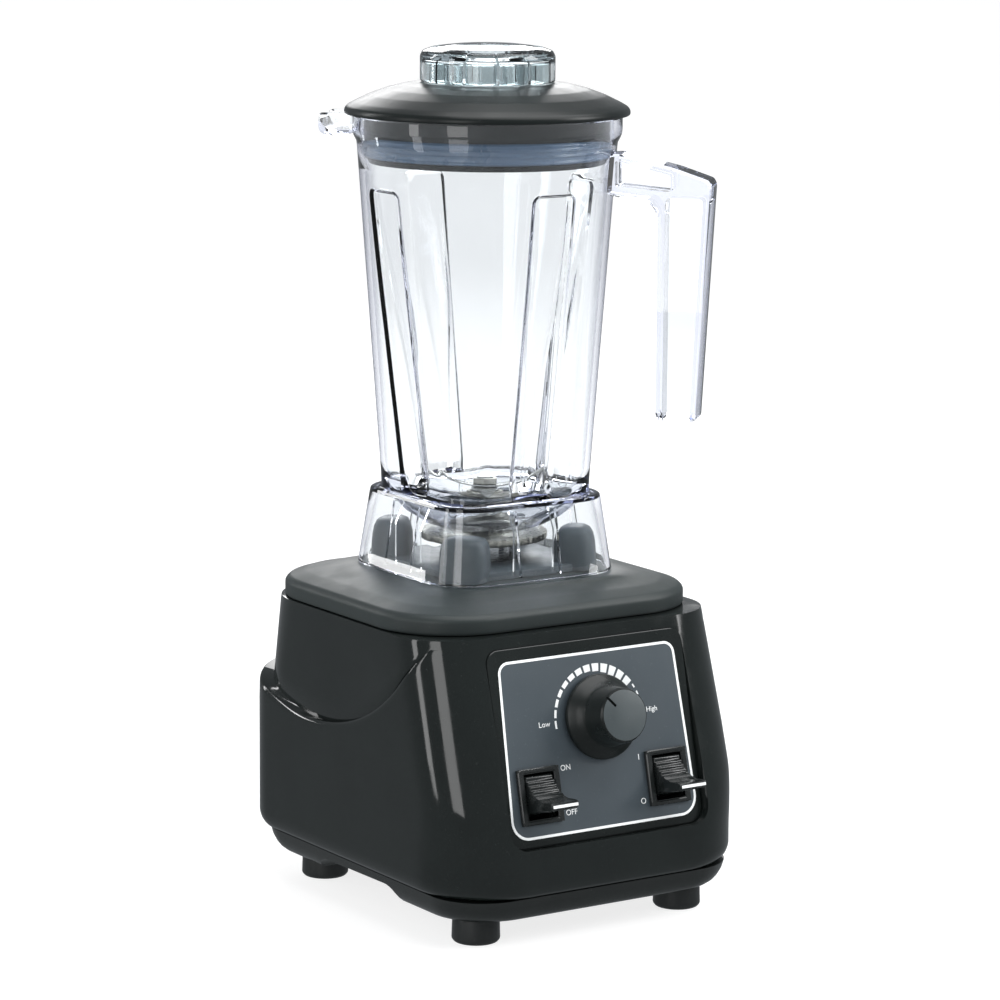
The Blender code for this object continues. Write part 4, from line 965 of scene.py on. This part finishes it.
def make_cap():
    """The clear filler cap: a domed cup with stiffening fins inside its rim."""
    profile = soften([(0.0001, 0.5070), (0.0180, 0.5066), (0.0226, 0.5040), (0.0226, 0.4664),
                      (0.0232, 0.4660), (0.0248, 0.4660), (0.0261, 0.4676), (0.0261, 0.4876),
                      (0.0261, 0.4990), (0.0280, 0.5020), (0.0360, 0.5012), (0.0374, 0.4996),
                      (0.0376, 0.4878), (0.0396, 0.4878), (0.0400, 0.4890), (0.0400, 0.5028),
                      (0.0385, 0.5058), (0.0330, 0.5078), (0.0200, 0.5094), (0.0001, TOTAL_HEIGHT)], 0.0010)
    cap = turned("cap_cup", profile, "cap", None, segments=128, angle=40)
    fins = []
    for i in range(12):
        turn = math.radians(30 * i + 6)
        fin = loft(f"fin_{i}", [[(x, y, z) for y, z in ((0.0255, 0.4900), (0.0382, 0.4884), (0.0382, 0.5030),
                                                        (0.0255, 0.5030))] for x in (-0.0008, 0.0008)],
                   "cap", None, matrix=Matrix.Translation((0, AXIS_Y, 0)) @ Matrix.Rotation(turn, 4, "Z"))
        fins.append(fin)
    combine(cap, fins, "UNION")
    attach(cap, "cap")
    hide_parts("filler_cap")


CARRIED = {
    "steel": ["motor_shaft", "drive_socket", "potentiometer_shaft", "motor_bearing_lower",
              "motor_bearing_upper", "jar_bearing_lower", "jar_bearing_upper"],
    "cast": ["heat_sink", "motor_bracket_lower", "motor_bracket_upper"],
    "core": ["stator", "armature"],
    "coil": ["field_coil_front", "field_coil_rear"],
    "bars": ["commutator"],
    "brass": ["brush_holder_left", "brush_holder_right", "potentiometer"],
    "carbon": ["brush_left", "brush_right"],
    "shroud": ["fan_shroud", "cooling_fan"],
    "mount": ["motor_mount", "spindle_seal", "cord_inlet"],
    "board": ["speed_board"],
    "switch": ["switch_body_left", "switch_body_right"],
    "screw": [f"foot_screw_{row}_{side}" for row in ("front", "rear") for side in ("left", "right")],
    "blade": ["blade_spindle"],
}


def dress_carried_nodes():
    """CAD nodes that keep their own shape get a material each."""
    for look, names in CARRIED.items():
        for name in names:
            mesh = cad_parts[name].data
            mesh.materials.clear()
            mesh.materials.append(LOOKS[look])


# ---------------------------------------------------------------- the studio

def area_light(name, place, aim, size, power):
    light = bpy.data.lights.new(name, "AREA")
    light.shape, light.size, light.size_y = "RECTANGLE", size[0], size[1]
    light.energy = power
    obj = bpy.data.objects.new(name, light)
    obj.location = place
    obj.rotation_euler = (Vector(aim) - Vector(place)).to_track_quat("-Z", "Y").to_euler()
    bpy.context.scene.collection.objects.link(obj)


def make_studio():
    """A pale floor that curves up behind, soft lamps and a dim world."""
    n = Nodes("studio_floor")
    n.feed("Base Color", n.blend(n.spread(n.noise(1.5), 0.0, 1.0), (0.30, 0.30, 0.30), (0.32, 0.32, 0.32)))
    n.set(Roughness=0.9, Emission_Color=(1, 1, 1, 1), Emission_Strength=0.80, Specular_IOR_Level=0.1)
    mesh = bpy.data.meshes.new("floor")
    bend = [(-9.0, 0.0), (3.0, 0.0)] + [(3.0 + 2.0 * math.sin(a), 2.0 - 2.0 * math.cos(a))
                                         for a in steps_between(0.1, math.pi / 2, 12)] + [(5.0, 9.0)]
    turn = Matrix.Rotation(VIEW_TURN, 4, "Z")
    points = [tuple(turn @ Vector((x, y, z))) for y, z in bend for x in (-12.0, 12.0)]
    mesh.from_pydata(points, [], [(2 * i, 2 * i + 1, 2 * i + 3, 2 * i + 2) for i in range(len(bend) - 1)])
    mesh.shade_smooth()
    mesh.materials.append(n.material)
    floor = bpy.data.objects.new("floor", mesh)
    floor.visible_glossy = False
    bpy.context.scene.collection.objects.link(floor)

    world = bpy.data.worlds.new("studio")
    world.use_nodes = True
    world.node_tree.nodes["Background"].inputs["Color"].default_value = (0.90, 0.95, 1.0, 1.0)
    world.node_tree.nodes["Background"].inputs["Strength"].default_value = 0.28
    bpy.context.scene.world = world

    for lamp in (("overhead", (0.4, -0.3, 2.2), (0, 0, 0.2), (2.2, 2.2), 55),
                 ("key_right", (1.9, -1.5, 1.5), (0, 0, 0.25), (1.0, 1.4), 42),
                 ("strip_left", (-1.95, -1.20, 0.75), (0, 0, 0.15), (0.75, 1.5), 13),
                 ("strip_side", (-2.30, 0.30, 0.70), (0, 0, 0.15), (0.40, 1.5), 9),
                 ("back_left", (-1.5, 2.2, 1.2), (0, 0, 0.2), (0.25, 1.6), 14),
                 ("fill_rear", (1.2, 2.2, 1.4), (0, 0, 0.2), (1.2, 1.2), 22)):
        area_light(*lamp)
    bpy.context.scene.view_settings.view_transform = "Standard"


def make_camera():
    """A long lens from the front left, a little above the lid."""
    lens = bpy.data.cameras.new("camera")
    lens.lens, lens.sensor_width, lens.shift_x = 146.08, 36.0, 0.00609
    camera = bpy.data.objects.new("camera", lens)
    turn = Matrix.Rotation(VIEW_TURN, 4, "Z") @ Matrix.Rotation(math.radians(90 - 10.14), 4, "X")
    camera.matrix_world = (Matrix.Translation((-1.3148, -1.9852, 0.6658)) @ turn
                           @ Matrix.Rotation(math.radians(0.43), 4, "Z"))
    bpy.context.scene.collection.objects.link(camera)
    bpy.context.scene.camera = camera


for make in (make_housing, make_cover, make_pad, make_pan, make_feet, make_panel, make_labels, make_knob,
             make_switches, make_jar, make_blades, make_retainer, make_lid, make_cap, dress_carried_nodes,
             make_studio, make_camera):
    make()
